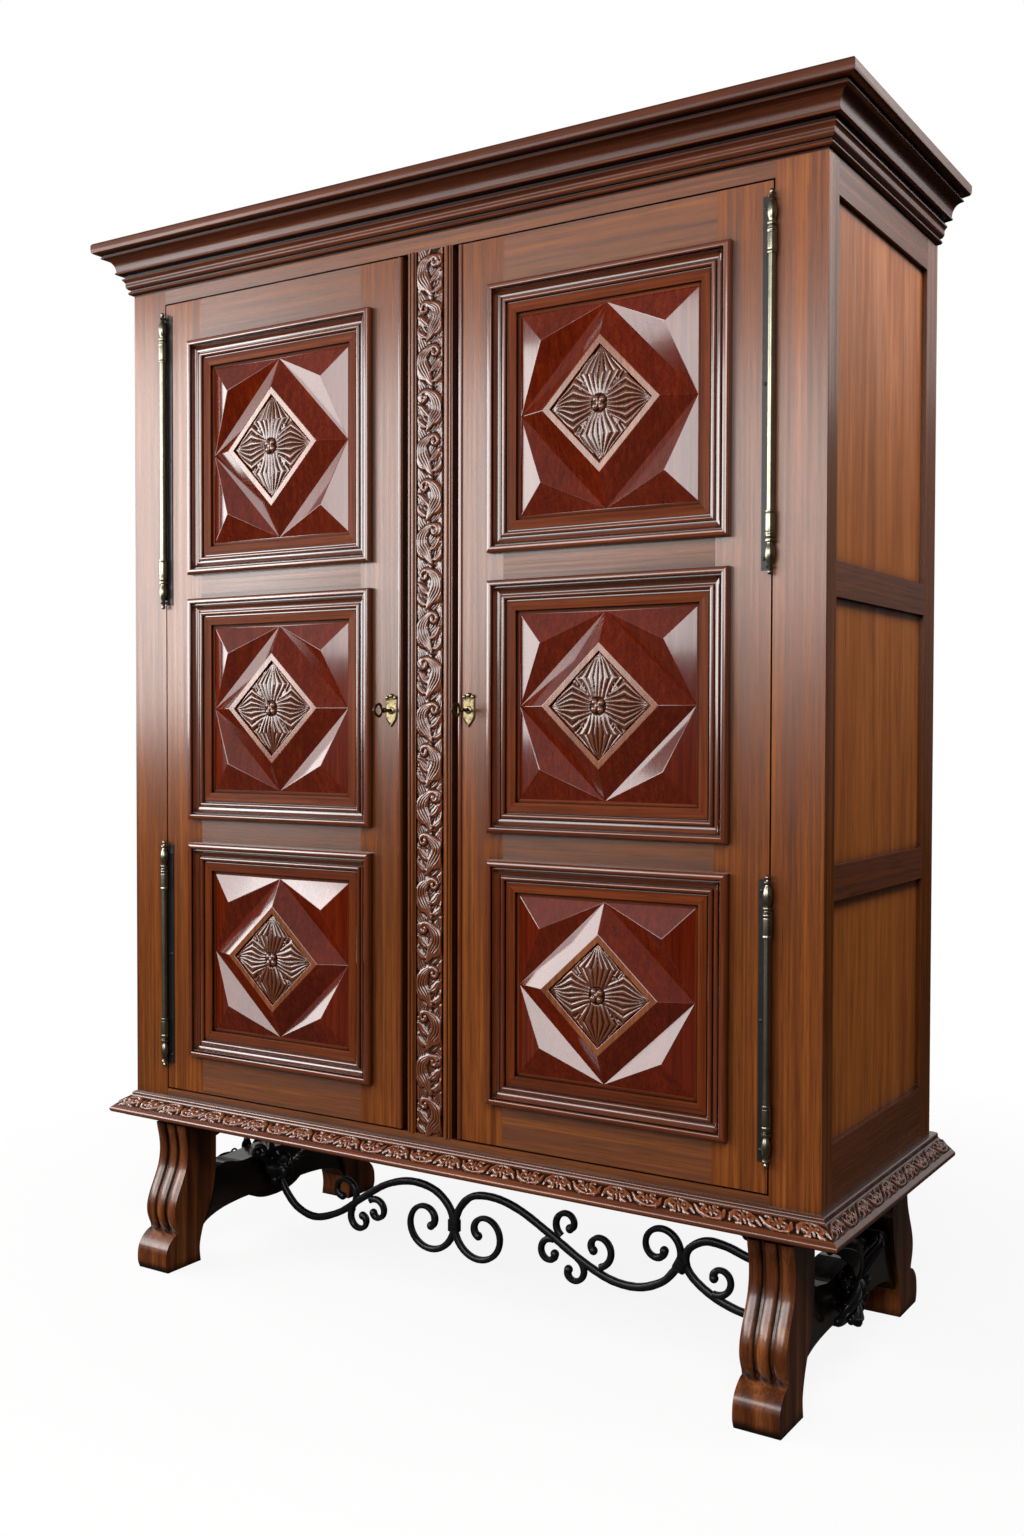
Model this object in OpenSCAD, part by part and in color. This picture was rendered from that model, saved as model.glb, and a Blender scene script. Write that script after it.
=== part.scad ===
// Two-door carved armoire: frame-and-panel case with faceted door panels,
// on a pair of shaped trestles that a wrought-iron stretcher ties together.
// The front faces -Y, +Z is up, and the origin is on the floor under the middle of the box round it all.

/* [Case] */
// Width over the corner posts
case_w = 1500; // [1400:10:1600]
// Depth, front face to back face
case_d = 556; // [500:2:620]
// Height between the stand and the cornice
case_h = 1646; // [1600:2:1700]
// Width of a front post seen from the front
front_post_w = 88; // [80:1:110]
// Depth of a front post
front_post_d = 44; // [40:1:52]
// Side of a square rear post
rear_post_w = 60; // [50:1:70]
// Height of the rail over the doors
top_rail_h = 27; // [20:1:40]
// Height of the rail under the doors
bottom_rail_h = 16; // [14:1:30]
// Width of the front of the fixed centre post
centre_post_w = 98; // [90:1:110]
// Width of the carved strip on the centre post
carving_w = 62; // [50:1:70]
// Depth of the channel that the carved strip lies in
carving_sink = 4; // [3:0.5:6]
// Width of the shadow groove between centre post and door
centre_groove_w = 13; // [8:1:16]
// How far the centre post's back flange laps behind a door
door_stop_lap = 8; // [6:0.5:10]

/* [Sides and back] */
// Thickness of the side rails
side_rail_t = 34; // [28:1:36]
// Height of the lowest side rail
side_bottom_rail_h = 101; // [80:1:130]
// Height of the other side rails
side_rail_h = 56; // [45:1:70]
// Top of the lower middle rail above the case's underside
side_lower_rail_top = 543; // [500:1:600]
// Top of the upper middle rail above the case's underside
side_upper_rail_top = 1022; // [980:1:1080]
// How far the side panels lie behind the frame's face
side_panel_sink = 9; // [6:0.5:11]
// Thickness of a back rail
back_rail_t = 20; // [16:1:24]
// Height of a back rail
back_rail_h = 80; // [60:1:100]
// Thickness of the back boards
back_board_t = 10; // [8:1:14]
// Number of back boards
back_board_count = 8; // [6:1:10]
// Thickness of the bottom, top and shelf boards
board_t = 18; // [15:1:22]
// Number of shelves
shelf_count = 3; // [1:1:4]
// Side of a shelf cleat
cleat_w = 20; // [15:1:25]
// Gap between the shelves and the backs of the doors
shelf_setback = 24; // [22:1:40]

/* [Joinery] */
// Thickness of a panel's tongue, of the groove for it and of a tenon
tongue_t = 10; // [8:0.5:12]
// Depth of a panel groove
groove_d = 10; // [8:0.5:12]
// Length of a tenon
tenon_l = 26; // [20:1:30]
// Height of the shoulder above and below a tenon
tenon_shoulder = 6; // [2:1:10]
// Clearance at the bottom of a groove or mortise
joint_clear = 1; // [0.5:0.1:2]

/* [Doors] */
// Gap round a door
door_gap = 3; // [2:0.5:4]
// Thickness of a door
door_t = 30; // [28:1:34]
// Plain wood beside the panel mouldings
door_side_margin = 68; // [60:1:80]
// Plain wood above the top panel moulding
door_top_margin = 82; // [70:1:95]
// Plain wood below the bottom panel moulding
door_bottom_margin = 74; // [65:1:90]
// Plain wood between two panel mouldings
door_rail_show = 48; // [40:1:60]
// How much higher the top panel is than the bottom one
upper_panel_extra = 35; // [0:1:60]
// How much higher the middle panel is than the bottom one
middle_panel_extra = 11; // [0:1:40]
// Depth of a door's panel groove behind its face
door_groove_y = 12; // [12:0.5:14]

/* [Panel mouldings] */
// Width of a panel moulding
moulding_w = 61; // [58:1:66]
// Hairline between two mitred lengths of moulding
mitre_gap = 0.1; // [0.05:0.05:0.3]
// How far a moulding laps onto the door frame
moulding_lap = 28; // [24:1:30]
// Height of the moulding's bead over the door's face
moulding_proud = 17; // [15:0.5:19]
// Radius of the moulding's outer bead
moulding_bead_r = 8; // [6:0.5:9]

/* [Faceted panels] */
// How far a panel's ground lies behind the door's face
field_sink = 4; // [3:0.5:6]
// Height of the lozenge over the panel's ground
lozenge_rise = 24; // [18:1:28]
// Height of a corner pyramid over the panel's ground
pyramid_rise = 20; // [14:1:24]
// Distance of a pyramid's point from the two sides at its corner
pyramid_inset = 52; // [40:1:60]
// Half of the flat lozenge's diagonal
lozenge_half = 112; // [100:1:118]
// Width of the flat rim round the rosette, along the diagonal
lozenge_rim = 15; // [10:1:20]
// Depth of the rosette's pocket
pocket_d = 6; // [4:0.5:8]

/* [Rosettes] */
// Gap between a petal's point and the corner of the pocket
petal_gap = 8; // [5:1:20]
// Width of a petal
petal_w = 50; // [32:1:54]
// Thickness of a petal
petal_t = 5; // [3:0.5:7]
// Radius of the middle button
button_r = 9; // [6:0.5:12]

/* [Cornice] */
// Height of the cornice
cornice_h = 104; // [96:1:112]
// How far the cornice stands out at the front and sides
cornice_out = 62; // [58:1:70]
// How far the cornice reaches in over the case's rails
cornice_foot = 22; // [18:1:26]

/* [Stand] */
// Height of the stand's moulded frame
base_h = 60; // [58:1:68]
// How far the frame's nose stands out at the front and sides
base_out = 41; // [36:1:46]
// Width of the frame inside the case's face
base_foot = 48; // [44:1:50]
// How far the frame stands out behind the case
base_back_out = 30; // [10:1:34]
// Thickness of the frame's plain rear rail
base_rear_w = 48; // [40:1:60]
// Height of a leg
leg_h = 290; // [280:1:300]
// Width of a leg
leg_w = 80; // [70:1:90]
// Distance of the stand's middle behind the case's middle
stand_shift = 20; // [16:1:24]
// Distance from the stand's middle to the tip of a toe
toe_reach = 345; // [340:1:350]
// Depth of a leg at the floor
leg_d = 100; // [96:1:104]
// How far the upper part of a leg reaches in behind its foot
leg_root_d = 46; // [40:1:52]
// Width of a groove between two reeds of a leg
reed_groove_w = 7; // [4:0.5:9]
// Depth of those grooves
reed_groove_d = 5; // [3:0.5:7]
// Thickness of a trestle rail
trestle_t = 60; // [50:1:68]
// Height above the floor of the cusps in a trestle rail's lower edge
trestle_z = 94; // [90:1:98]
// Height above the floor of a trestle rail's top edge in the middle
trestle_top = 180; // [176:1:186]
// How far the pendant hangs below the cusps
pendant_drop = 20; // [14:1:24]
// Distance of a cusp from the middle of the trestle
cusp_reach = 84; // [76:1:90]
// Depth of the apron under a trestle's bearer
apron_h = 46; // [30:1:50]

/* [Ironwork] */
// Width of the forged bar, seen from the front
bar_w = 15; // [12:0.5:16]
// Width of a curl's thin end
tip_w = 9; // [7:0.5:10]
// Thickness of the forged bar, front to back
bar_t = 14; // [10:0.5:18]
// Radius of the ball at a curl's end
eye_r = 9; // [7:0.5:11]
// Height of the bolt that holds the stretcher
boss_z = 132; // [124:1:140]
// Radius of the bolt's domed boss
boss_r = 27; // [22:1:30]
// Length of a forged leaf round the boss, from the middle
boss_leaf_l = 62; // [50:1:70]
// Radius of the bolt through the trestle rail
boss_bolt_r = 9; // [7:0.5:11]
// Radius of the hub at each end of the stretcher
hub_r = 30; // [26:1:34]
// Thickness of that hub
hub_t = 18; // [12:1:24]
// Radius of the round brace from the hub up to the case
brace_r = 6.5; // [5:0.5:8]

/* [Hinges] */
// Distance of the hinge axis in front of the doors' faces
hinge_out = 9; // [8.8:0.1:11]
// Radius of the hinge rod
rod_r = 6; // [5:0.1:6.5]
// Radius of the knuckles
knuckle_r = 8.2; // [7.6:0.1:8.4]
// Running clearance between rod and knuckle
rod_clear = 0.06; // [0.03:0.01:0.1]
// Gap between the upper hinge and the cornice
upper_hinge_gap = 46; // [30:1:60]
// Length of the upper hinge
upper_hinge_l = 600; // [560:1:600]
// Bottom of the lower hinge above the case's underside
lower_hinge_z = 62; // [50:1:80]
// Length of the lower hinge
lower_hinge_l = 466; // [420:1:500]
// Length of the turned baluster at each end of a hinge
baluster_l = 62; // [54:1:72]
// Length of a knuckle on the door
knuckle_l = 38; // [30:1:50]
// Length of the hinge's leaves into the gap between door and post
leaf_reach = 24; // [16:1:28]
// Thickness of a hinge leaf
leaf_t = 1.3; // [1:0.1:1.4]

/* [Locks] */
// Distance of the keyhole from the door's closing edge
keyhole_x = 24; // [22:1:30]
// Height of the keyhole above the case's underside
keyhole_z = 791; // [760:1:820]
// Radius of the key's shank
shank_r = 3; // [2.5:0.1:3.4]
// Play between the key's shank and the keyhole
key_clear = 0.6; // [0.4:0.1:0.8]
// How far the key's shank stands out in front of the door
shank_out = 28; // [20:1:40]
// Outer radius of the key's bow
bow_r = 13; // [10:0.5:16]
// Length of the key's bit from the shank's axis
bit_l = 8.5; // [7:0.5:9]
// Length of the lock case along the door's width
lock_case_w = 62; // [56:1:70]
// Height of the lock case
lock_case_h = 90; // [84:1:110]
// Depth of the lock case
lock_case_d = 18; // [16:0.5:19]
// Thickness of the lock case's walls
lock_wall = 2; // [1.5:0.1:2.5]
// Height of the bolt
bolt_h = 24; // [18:1:28]
// Thickness of the bolt
bolt_t = 6; // [5:0.5:7]
// Length of the bolt
bolt_l = 44; // [40:1:50]
// Distance that the bolt is thrown
bolt_throw = 16; // [14:0.5:16]
// Distance of the bolt behind the door's back
bolt_back = 5; // [3:0.5:6]
// Play round the bolt
bolt_clear = 0.4; // [0.3:0.1:0.8]
// Width of the escutcheon
escutcheon_w = 25; // [20:1:30]
// Height of the escutcheon's plate
escutcheon_h = 46; // [40:1:56]
// Thickness of the escutcheon
escutcheon_t = 3; // [2:0.5:4]

/* [Hidden] */
$fn = 48;

// Length added to a cutting shape so that it passes through the surface
over = 1;

// Case: outer faces and levels. Cornice and rear toes reach equally far from y = 0.
case_y = (case_d / 2 + cornice_out - stand_shift - toe_reach) / 2;
stand_y = case_y + stand_shift;
case_x = case_w / 2;
front_y = case_y - case_d / 2;
back_y = case_y + case_d / 2;
case_z = leg_h + base_h;
case_top = case_z + case_h;
post_back_y = front_y + front_post_d;
rear_post_y = back_y - rear_post_w;
rear_post_x = case_x - rear_post_w;
post_x = case_x - front_post_w;
side_x = case_x - side_rail_t;
board_y = back_y - back_rail_t;
shelf_back_y = board_y - back_board_t;
shelf_front_y = front_y + door_t + shelf_setback;

// Doors: the right one, which the left one mirrors
door_x0 = centre_post_w / 2 + centre_groove_w;
door_x1 = post_x - door_gap;
door_z0 = case_z + bottom_rail_h + door_gap;
door_z1 = case_top - top_rail_h - door_gap;
door_back_y = front_y + door_t;
stile_w = door_side_margin + moulding_lap;
panel_w = door_x1 - door_x0 - 2 * door_side_margin;
panel_x = (door_x0 + door_x1) / 2;
lower_panel_h = (door_z1 - door_z0 - door_top_margin - door_bottom_margin
    - 2 * door_rail_show - upper_panel_extra - middle_panel_extra) / 3;
panel_hs = lower_panel_h * [1, 1, 1] + [0, middle_panel_extra, upper_panel_extra];
panel_z0 = [
    door_z0 + door_bottom_margin,
    door_z0 + door_bottom_margin + lower_panel_h + door_rail_show,
    door_z1 - door_top_margin - panel_hs[2],
];
panel_z1 = [for (i = [0:2]) panel_z0[i] + panel_hs[i]];
field_w = panel_w - 2 * moulding_w;
field_hs = [for (h = panel_hs) h - 2 * moulding_w];
pocket_x = lozenge_half - lozenge_rim;
pocket_zs = [for (h = field_hs) pocket_x * h / field_w];
door_rail_z = [
    [door_z0, panel_z0[0] + moulding_lap],
    [panel_z1[0] - moulding_lap, panel_z0[1] + moulding_lap],
    [panel_z1[1] - moulding_lap, panel_z0[2] + moulding_lap],
    [panel_z1[2] - moulding_lap, door_z1],
];

// Side frames: lower and upper edge of each rail
side_rail_z = [
    [case_z, case_z + side_bottom_rail_h],
    [case_z + side_lower_rail_top - side_rail_h, case_z + side_lower_rail_top],
    [case_z + side_upper_rail_top - side_rail_h, case_z + side_upper_rail_top],
    [case_top - side_rail_h, case_top],
];

// Shelves: equal bays between the bottom board and the top board
bay_h = (case_h - board_t * (shelf_count + 1)) / (shelf_count + 1);
shelf_z = [for (i = [1:shelf_count]) case_z + i * (bay_h + board_t)];

// Stand
base_inner_x = case_x - base_foot;
base_inner_y = front_y + base_foot;
base_back_y = back_y + base_back_out;
leg_x1 = base_inner_x;
leg_x0 = leg_x1 - leg_w;
leg_x = (leg_x0 + leg_x1) / 2;
heel_reach = toe_reach - leg_d;
root_reach = heel_reach - leg_root_d;
rail_x0 = leg_x - trestle_t / 2;
rail_x1 = leg_x + trestle_t / 2;

// Hinges and locks, for the right door
hinge_x = post_x - door_gap / 2;
hinge_y = front_y - hinge_out;
hinges = [
    [case_z + lower_hinge_z, lower_hinge_l],
    [case_top - upper_hinge_gap - upper_hinge_l, upper_hinge_l],
];
flange_x = door_x0 + door_stop_lap;
flange_t = front_post_d - door_t;
key_x = door_x0 + keyhole_x;
key_z = case_z + keyhole_z;
lock_gap = 4;
lock_x0 = flange_x + lock_gap;
lock_back_y = door_back_y + lock_case_d;
bolt_y = door_back_y + bolt_back;
bolt_z = key_z + bit_l + 2;
keeper_t = 1;

wood = [0.42, 0.22, 0.11];
side_wood = [0.62, 0.36, 0.17];
dark_wood = [0.24, 0.11, 0.07];
panel_red = [0.38, 0.09, 0.05];
carved = [0.34, 0.17, 0.1];
inner_wood = [0.66, 0.48, 0.3];
iron = [0.05, 0.05, 0.055];
brass = [0.76, 0.68, 0.48];
old_brass = [0.5, 0.4, 0.22];
steel = [0.6, 0.6, 0.58];

// Box between two corners
module block(low, high) {
    translate(low) cube(high - low);
}

// Draws what is modelled on the right at the left too, or only there
module on_side(side) {
    if (side > 0) children();
    else mirror([1, 0, 0]) children();
}

// A smooth curve through the given points, n steps between each two
function between(a, b, c, d, t) = 0.5 * (2 * b + (c - a) * t
    + (2 * a - 5 * b + 4 * c - d) * t * t + (3 * b - a - 3 * c + d) * t * t * t);
function smooth(p, n) = let (last = len(p) - 1) concat(
    [for (i = [0:last - 1]) for (k = [0:n - 1])
        between(p[max(i - 1, 0)], p[i], p[i + 1], p[min(i + 2, last)], k / n)],
    [p[last]]);

// An arm that winds in round its centre, from one radius and angle to the others
function spiral(c, r0, r1, a0, a1, n) = [for (i = [0:n])
    let (t = i / n, r = r0 + (r1 - r0) * t, a = a0 + (a1 - a0) * t)
    c + r * [cos(a), sin(a)]];

// The outline of a flat bar along a line of points, from width w0 to width w1
function bar_outline(p, w0, w1) = let (
    last = len(p) - 1,
    side = [for (i = [0:last])
        let (d = p[min(i + 1, last)] - p[max(i - 1, 0)]) [-d.y, d.x] / norm(d)],
    half = [for (i = [0:last]) (w0 + (w1 - w0) * i / last) / 2])
    concat([for (i = [0:last]) p[i] + side[i] * half[i]],
        [for (i = [last:-1:0]) p[i] - side[i] * half[i]]);

// Frame rail along X with its face at y = 0, grooved for the panels above and below
module frame_rail(x0, x1, z, t, groove_y, groove_below, groove_above) {
    tenon_z0 = z[0] + (groove_below ? groove_d : 0);
    tenon_z1 = z[1] - (groove_above ? groove_d : 0);
    difference() {
        block([x0, 0, z[0]], [x1, t, z[1]]);
        if (groove_below)
            block([x0 - over, groove_y, z[0] - over], [x1 + over, groove_y + tongue_t, z[0] + groove_d]);
        if (groove_above)
            block([x0 - over, groove_y, z[1] - groove_d], [x1 + over, groove_y + tongue_t, z[1] + over]);
    }
    block([x0 - tenon_l, groove_y, tenon_z0 + tenon_shoulder],
        [x1 + tenon_l, groove_y + tongue_t, tenon_z1 - tenon_shoulder]);
}

// The cuts in the edge of a stile for a frame's panels and tenons, with the edge at x = 0
// and the wood towards -X
module stile_cuts(rails, groove_y) {
    block([-groove_d, groove_y, rails[0][1] - groove_d],
        [over, groove_y + tongue_t, rails[3][0] + groove_d]);
    for (i = [0:3])
        block([-tenon_l - joint_clear, groove_y, rails[i][0] + (i == 0 ? 0 : groove_d) + tenon_shoulder],
            [over, groove_y + tongue_t, rails[i][1] - (i == 3 ? 0 : groove_d) - tenon_shoulder]);
}

// Turns a frame modelled with its face towards -Y so that it faces +X at the case's side
module as_side_frame() {
    translate([case_x, 0, 0]) rotate([0, 0, 90]) children();
}

module front_post(side) {
    color(wood) on_side(side) difference() {
        block([post_x, front_y, case_z], [case_x, post_back_y, case_top]);
        as_side_frame() translate([post_back_y, 0, 0]) stile_cuts(side_rail_z, side_panel_sink);
    }
}

module rear_post(side) {
    color(wood) on_side(side) difference() {
        block([rear_post_x, rear_post_y, case_z], [case_x, back_y, case_top]);
        as_side_frame() translate([rear_post_y, 0, 0]) mirror([1, 0, 0])
            stile_cuts(side_rail_z, side_panel_sink);
    }
}

module side_rails(side) {
    color(wood) on_side(side) as_side_frame() for (i = [0:3])
        frame_rail(post_back_y, rear_post_y, side_rail_z[i], side_rail_t, side_panel_sink, i > 0, i < 3);
}

module side_panels(side) {
    tongue = groove_d - joint_clear;
    color(side_wood) on_side(side) as_side_frame() for (i = [0:2])
        block([post_back_y - tongue, side_panel_sink, side_rail_z[i][1] - tongue],
            [rear_post_y + tongue, side_panel_sink + tongue_t, side_rail_z[i + 1][0] + tongue]);
}

module centre_post() {
    half = centre_post_w / 2;
    color(wood) difference() {
        union() {
            block([-half, front_y, case_z + bottom_rail_h], [half, post_back_y, case_top - top_rail_h]);
            block([-flange_x, door_back_y, case_z + bottom_rail_h],
                [flange_x, post_back_y, case_top - top_rail_h]);
        }
        block([-carving_w / 2, front_y - over, case_z + bottom_rail_h - over],
            [carving_w / 2, front_y + carving_sink, case_top - top_rail_h + over]);
        for (side = [-1, 1]) on_side(side)
            block([lock_x0 - bolt_throw - joint_clear, bolt_y - bolt_clear, bolt_z - bolt_clear],
                [flange_x + over, bolt_y + bolt_t + bolt_clear, bolt_z + bolt_h + bolt_clear]);
    }
}

// Strip with a stem that winds up it and a leaf in each bend
module centre_carving() {
    z0 = case_z + bottom_rail_h;
    z1 = case_top - top_rail_h;
    ground = 2;
    relief = 3.5;
    bends = 20;
    swing = carving_w * 0.2;
    stem_w = 7;
    steps = 6;
    pitch = (z1 - z0) / bends;
    stem = [for (i = [0:bends * steps])
        [swing * sin(180 * i / steps), z0 + (z1 - z0) * i / (bends * steps)]];
    leaf_l = pitch * 0.62;
    leaf_r = leaf_l * 0.75;
    color(carved) {
        block([-carving_w / 2, front_y + carving_sink - ground, z0],
            [carving_w / 2, front_y + carving_sink, z1]);
        translate([0, front_y + carving_sink - ground, 0]) rotate([90, 0, 0]) linear_extrude(relief)
            intersection() {
                translate([-carving_w / 2, z0]) square([carving_w, z1 - z0]);
                union() {
                    polygon(bar_outline(stem, stem_w, stem_w));
                    for (i = [0:bends - 1])
                        translate([(i % 2 == 0 ? -1 : 1) * swing * 0.75, z0 + (i + 0.5) * pitch])
                            rotate(i % 2 == 0 ? 35 : -35) intersection() {
                                translate([leaf_r * 0.72, 0]) circle(leaf_r);
                                translate([-leaf_r * 0.72, 0]) circle(leaf_r);
                            }
                }
            }
    }
}

module front_top_rail() {
    color(wood) block([-post_x, front_y, case_top - top_rail_h], [post_x, post_back_y, case_top]);
}

module front_bottom_rail() {
    color(wood) block([-post_x, front_y, case_z], [post_x, post_back_y, case_z + bottom_rail_h]);
}

module back_rails() {
    middle = case_z + case_h / 2;
    color(inner_wood) for (z = [case_z, middle - back_rail_h / 2, case_top - back_rail_h])
        block([-rear_post_x, board_y, z], [rear_post_x, back_y, z + back_rail_h]);
}

module back_boards() {
    pitch = 2 * rear_post_x / back_board_count;
    seam = 0.4;
    color(inner_wood) for (i = [0:back_board_count - 1])
        block([-rear_post_x + i * pitch + seam / 2, shelf_back_y, case_z + board_t],
            [-rear_post_x + (i + 1) * pitch - seam / 2, board_y, case_top]);
}

// A board across the case, cut back round the rear posts
module case_board(y0, z) {
    difference() {
        block([-side_x, y0, z], [side_x, shelf_back_y, z + board_t]);
        for (side = [-1, 1]) on_side(side)
            block([rear_post_x, rear_post_y, z - over], [case_x, back_y, z + board_t + over]);
    }
}

module bottom_board() {
    color(inner_wood) case_board(post_back_y, case_z);
}

module top_board() {
    color(inner_wood) block([-case_x + cornice_foot, front_y + cornice_foot, case_top],
        [case_x - cornice_foot, back_y, case_top + board_t]);
}

module shelves() {
    color(inner_wood) for (z = shelf_z) case_board(shelf_front_y, z);
}

module shelf_cleats() {
    color(inner_wood) for (z = shelf_z, side = [-1, 1]) on_side(side)
        block([side_x - cleat_w, post_back_y, z - cleat_w], [side_x, rear_post_y, z]);
}

// Section of the cornice: x outwards from the case's face, y up from the case's top
module cornice_section() {
    k = cornice_out;
    h = cornice_h;
    difference() {
        union() {
            polygon([
                [-cornice_foot, 0], [0, 0], [0, 4], [6, 6], [7, 22], [9, 26], [9, 29], [11, 31],
                [k - 50, 34], [k - 46, h - 50], [k - 38, h - 48], [k - 38, h - 44], [k - 32, h - 42],
                [k - 32, h - 38], [k - 14, h - 18], [k - 10, h - 16], [k - 10, h - 12], [k, h - 10],
                [k, h], [-cornice_foot, h],
            ]);
            translate([6, 14]) circle(9);
        }
        translate([k - 8, h - 38]) circle(21);
    }
}

// Section of the stand's frame: x outwards from the case's face, y up from the legs
module base_section() {
    k = base_out;
    h = base_h;
    polygon([
        [-base_foot, 0], [-31, 0], [-31, 3], [-9, 4], [-9, 9], [18, 11], [18, 17], [k - 10, 20],
        [k - 5, 32], [7, h - 8], [7, h - 6], [0, h - 4], [0, h], [-base_foot, h],
    ]);
    translate([k - 5, 26]) circle(5);
    translate([k - 14, 16]) square([9, 12]);
    translate([3.5, h - 4]) circle(3.5);
}

// A length of moulding along X whose section grows towards -Y, and one along Y towards +X
module along_front(length) {
    multmatrix([[0, 0, -1, 0], [-1, 0, 0, front_y], [0, 1, 0, 0], [0, 0, 0, 1]])
        linear_extrude(length, center = true) children();
}

module along_side(length) {
    translate([case_x, 0, 0]) rotate([90, 0, 0]) linear_extrude(length, center = true) children();
}

// Plan of a front length and of a side length, cut at 45 degrees where they meet
module front_plan(foot, out) {
    polygon([[-case_x + foot, front_y + foot], [case_x - foot, front_y + foot],
        [case_x + out, front_y - out], [-case_x - out, front_y - out]]);
}

module side_plan(foot, out, y1) {
    polygon([[case_x - foot, front_y + foot], [case_x + out, front_y - out],
        [case_x + out, y1], [case_x - foot, y1]]);
}

module cornice_front() {
    color(dark_wood) translate([0, 0, case_top]) intersection() {
        along_front(case_w + 4 * cornice_out) cornice_section();
        linear_extrude(cornice_h) front_plan(cornice_foot, cornice_out + over);
    }
}

module cornice_side(side) {
    color(dark_wood) on_side(side) translate([0, 0, case_top]) intersection() {
        along_side(case_d + 4 * cornice_out) cornice_section();
        linear_extrude(cornice_h) side_plan(cornice_foot, cornice_out + over, back_y);
    }
}

module base_front() {
    color(carved) translate([0, 0, leg_h]) intersection() {
        along_front(case_w + 4 * base_out) base_section();
        linear_extrude(base_h) front_plan(base_foot, base_out + over);
    }
}

module base_side(side) {
    color(carved) on_side(side) translate([0, 0, leg_h]) intersection() {
        along_side(case_d + 4 * base_out + 4 * base_back_out) base_section();
        linear_extrude(base_h) side_plan(base_foot, base_out + over, base_back_y);
    }
}

module base_rear() {
    color(wood) block([-base_inner_x, base_back_y - base_rear_w, leg_h],
        [base_inner_x, base_back_y, case_z]);
}

// Bearer over a trestle, with an arched apron between the legs
module bearer(side) {
    arch_rise = apron_h * 0.6;
    arch_r = (root_reach * root_reach + arch_rise * arch_rise) / (2 * arch_rise);
    color(wood) on_side(side) {
        block([leg_x0, base_inner_y, leg_h], [leg_x1, base_back_y - base_rear_w, case_z]);
        translate([leg_x, stand_y, leg_h - apron_h]) rotate([90, 0, 90])
            linear_extrude(trestle_t, center = true) difference() {
                translate([-root_reach, 0]) square([2 * root_reach, apron_h]);
                translate([0, arch_rise - arch_r]) circle(arch_r, $fn = 180);
                translate([0, apron_h - leg_h]) leg_pair();
            }
    }
}

// Side view of a leg: x outwards from the stand's middle, with the toe at toe_reach.
// Toe and shin are in hundredths of the leg's depth, the heel in hundredths of the root's reach,
// and all three in hundredths of the leg's height.
function leg_outline(groove) = let (
    toe = [[94, 0], [99, 4], [100, 8], [98, 14.5], [90, 20], [76, 24], [62, 26]],
    shin = [[62, 26], [70, 30.5], [77, 36.5], [77, 44], [69, 52.5], [56, 61.5], [45, 70.5],
        [41, 79.5], [43, 88.5], [48, 96], [50, 100]],
    heel = [[-100, 100], [-100, 83], [-98, 65.5], [-85, 51.5], [-63, 40], [-30, 29.5], [-7, 20],
        [6, 10], [0, 0]],
    d = leg_d / 100,
    r = leg_root_d / 100,
    h = leg_h / 100)
    concat([for (p = smooth(toe, 2)) [heel_reach + p.x * d, p.y * h]],
        [for (p = smooth(shin, 2)) [heel_reach + p.x * d - groove, p.y * h]],
        [for (p = smooth(heel, 2)) [heel_reach + p.x * r, p.y * h]]);

module leg_pair() {
    for (s = [0, 1]) mirror([s, 0]) polygon(leg_outline(0));
}

module leg(side, front) {
    reed_w = (leg_w - 2 * reed_groove_w) / 3;
    color(wood) on_side(side) translate([0, stand_y, 0]) mirror([0, front ? 1 : 0, 0])
        translate([leg_x0, 0, 0]) rotate([90, 0, 90]) {
            for (i = [0:2]) translate([0, 0, i * (reed_w + reed_groove_w)])
                linear_extrude(reed_w) polygon(leg_outline(0));
            for (i = [0:1]) translate([0, 0, reed_w + i * (reed_w + reed_groove_w)])
                linear_extrude(reed_groove_w) polygon(leg_outline(reed_groove_d));
        }
}

// Rail between a trestle's legs. Its lower edge has a pendant between two cusps and then runs
// down the legs' heels; its top edge rises to a hump before each leg.
module trestle_rail(side) {
    z = trestle_z;
    d = pendant_drop;
    t = trestle_top;
    c = cusp_reach;
    e = heel_reach - c;
    b = root_reach;
    lower = concat(smooth([[0, z - d], [c * 0.4, z - d * 0.9], [c * 0.74, z - d * 0.55], [c, z]], 3),
        smooth([[c, z], [c + e * 0.22, z - 1], [c + e * 0.5, z - 5], [c + e * 0.72, z - 13],
            [c + e * 0.89, z - 26], [c + e * 1.06, z - 56]], 3));
    upper = smooth([[b + 30, t - 22], [b - 3, t - 8], [b * 0.85, t + 4], [b * 0.73, t + 2],
        [b * 0.55, t - 5], [b * 0.3, t - 3], [0, t]], 3);
    half = concat(lower, upper);
    outline = concat(half, [for (i = [len(half) - 2:-1:1]) [-half[i].x, half[i].y]]);
    color(dark_wood) on_side(side) translate([leg_x, stand_y, 0]) rotate([90, 0, 90])
        linear_extrude(trestle_t, center = true) difference() {
            polygon(outline);
            leg_pair();
            translate([0, boss_z]) circle(boss_bolt_r);
        }
}

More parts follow.
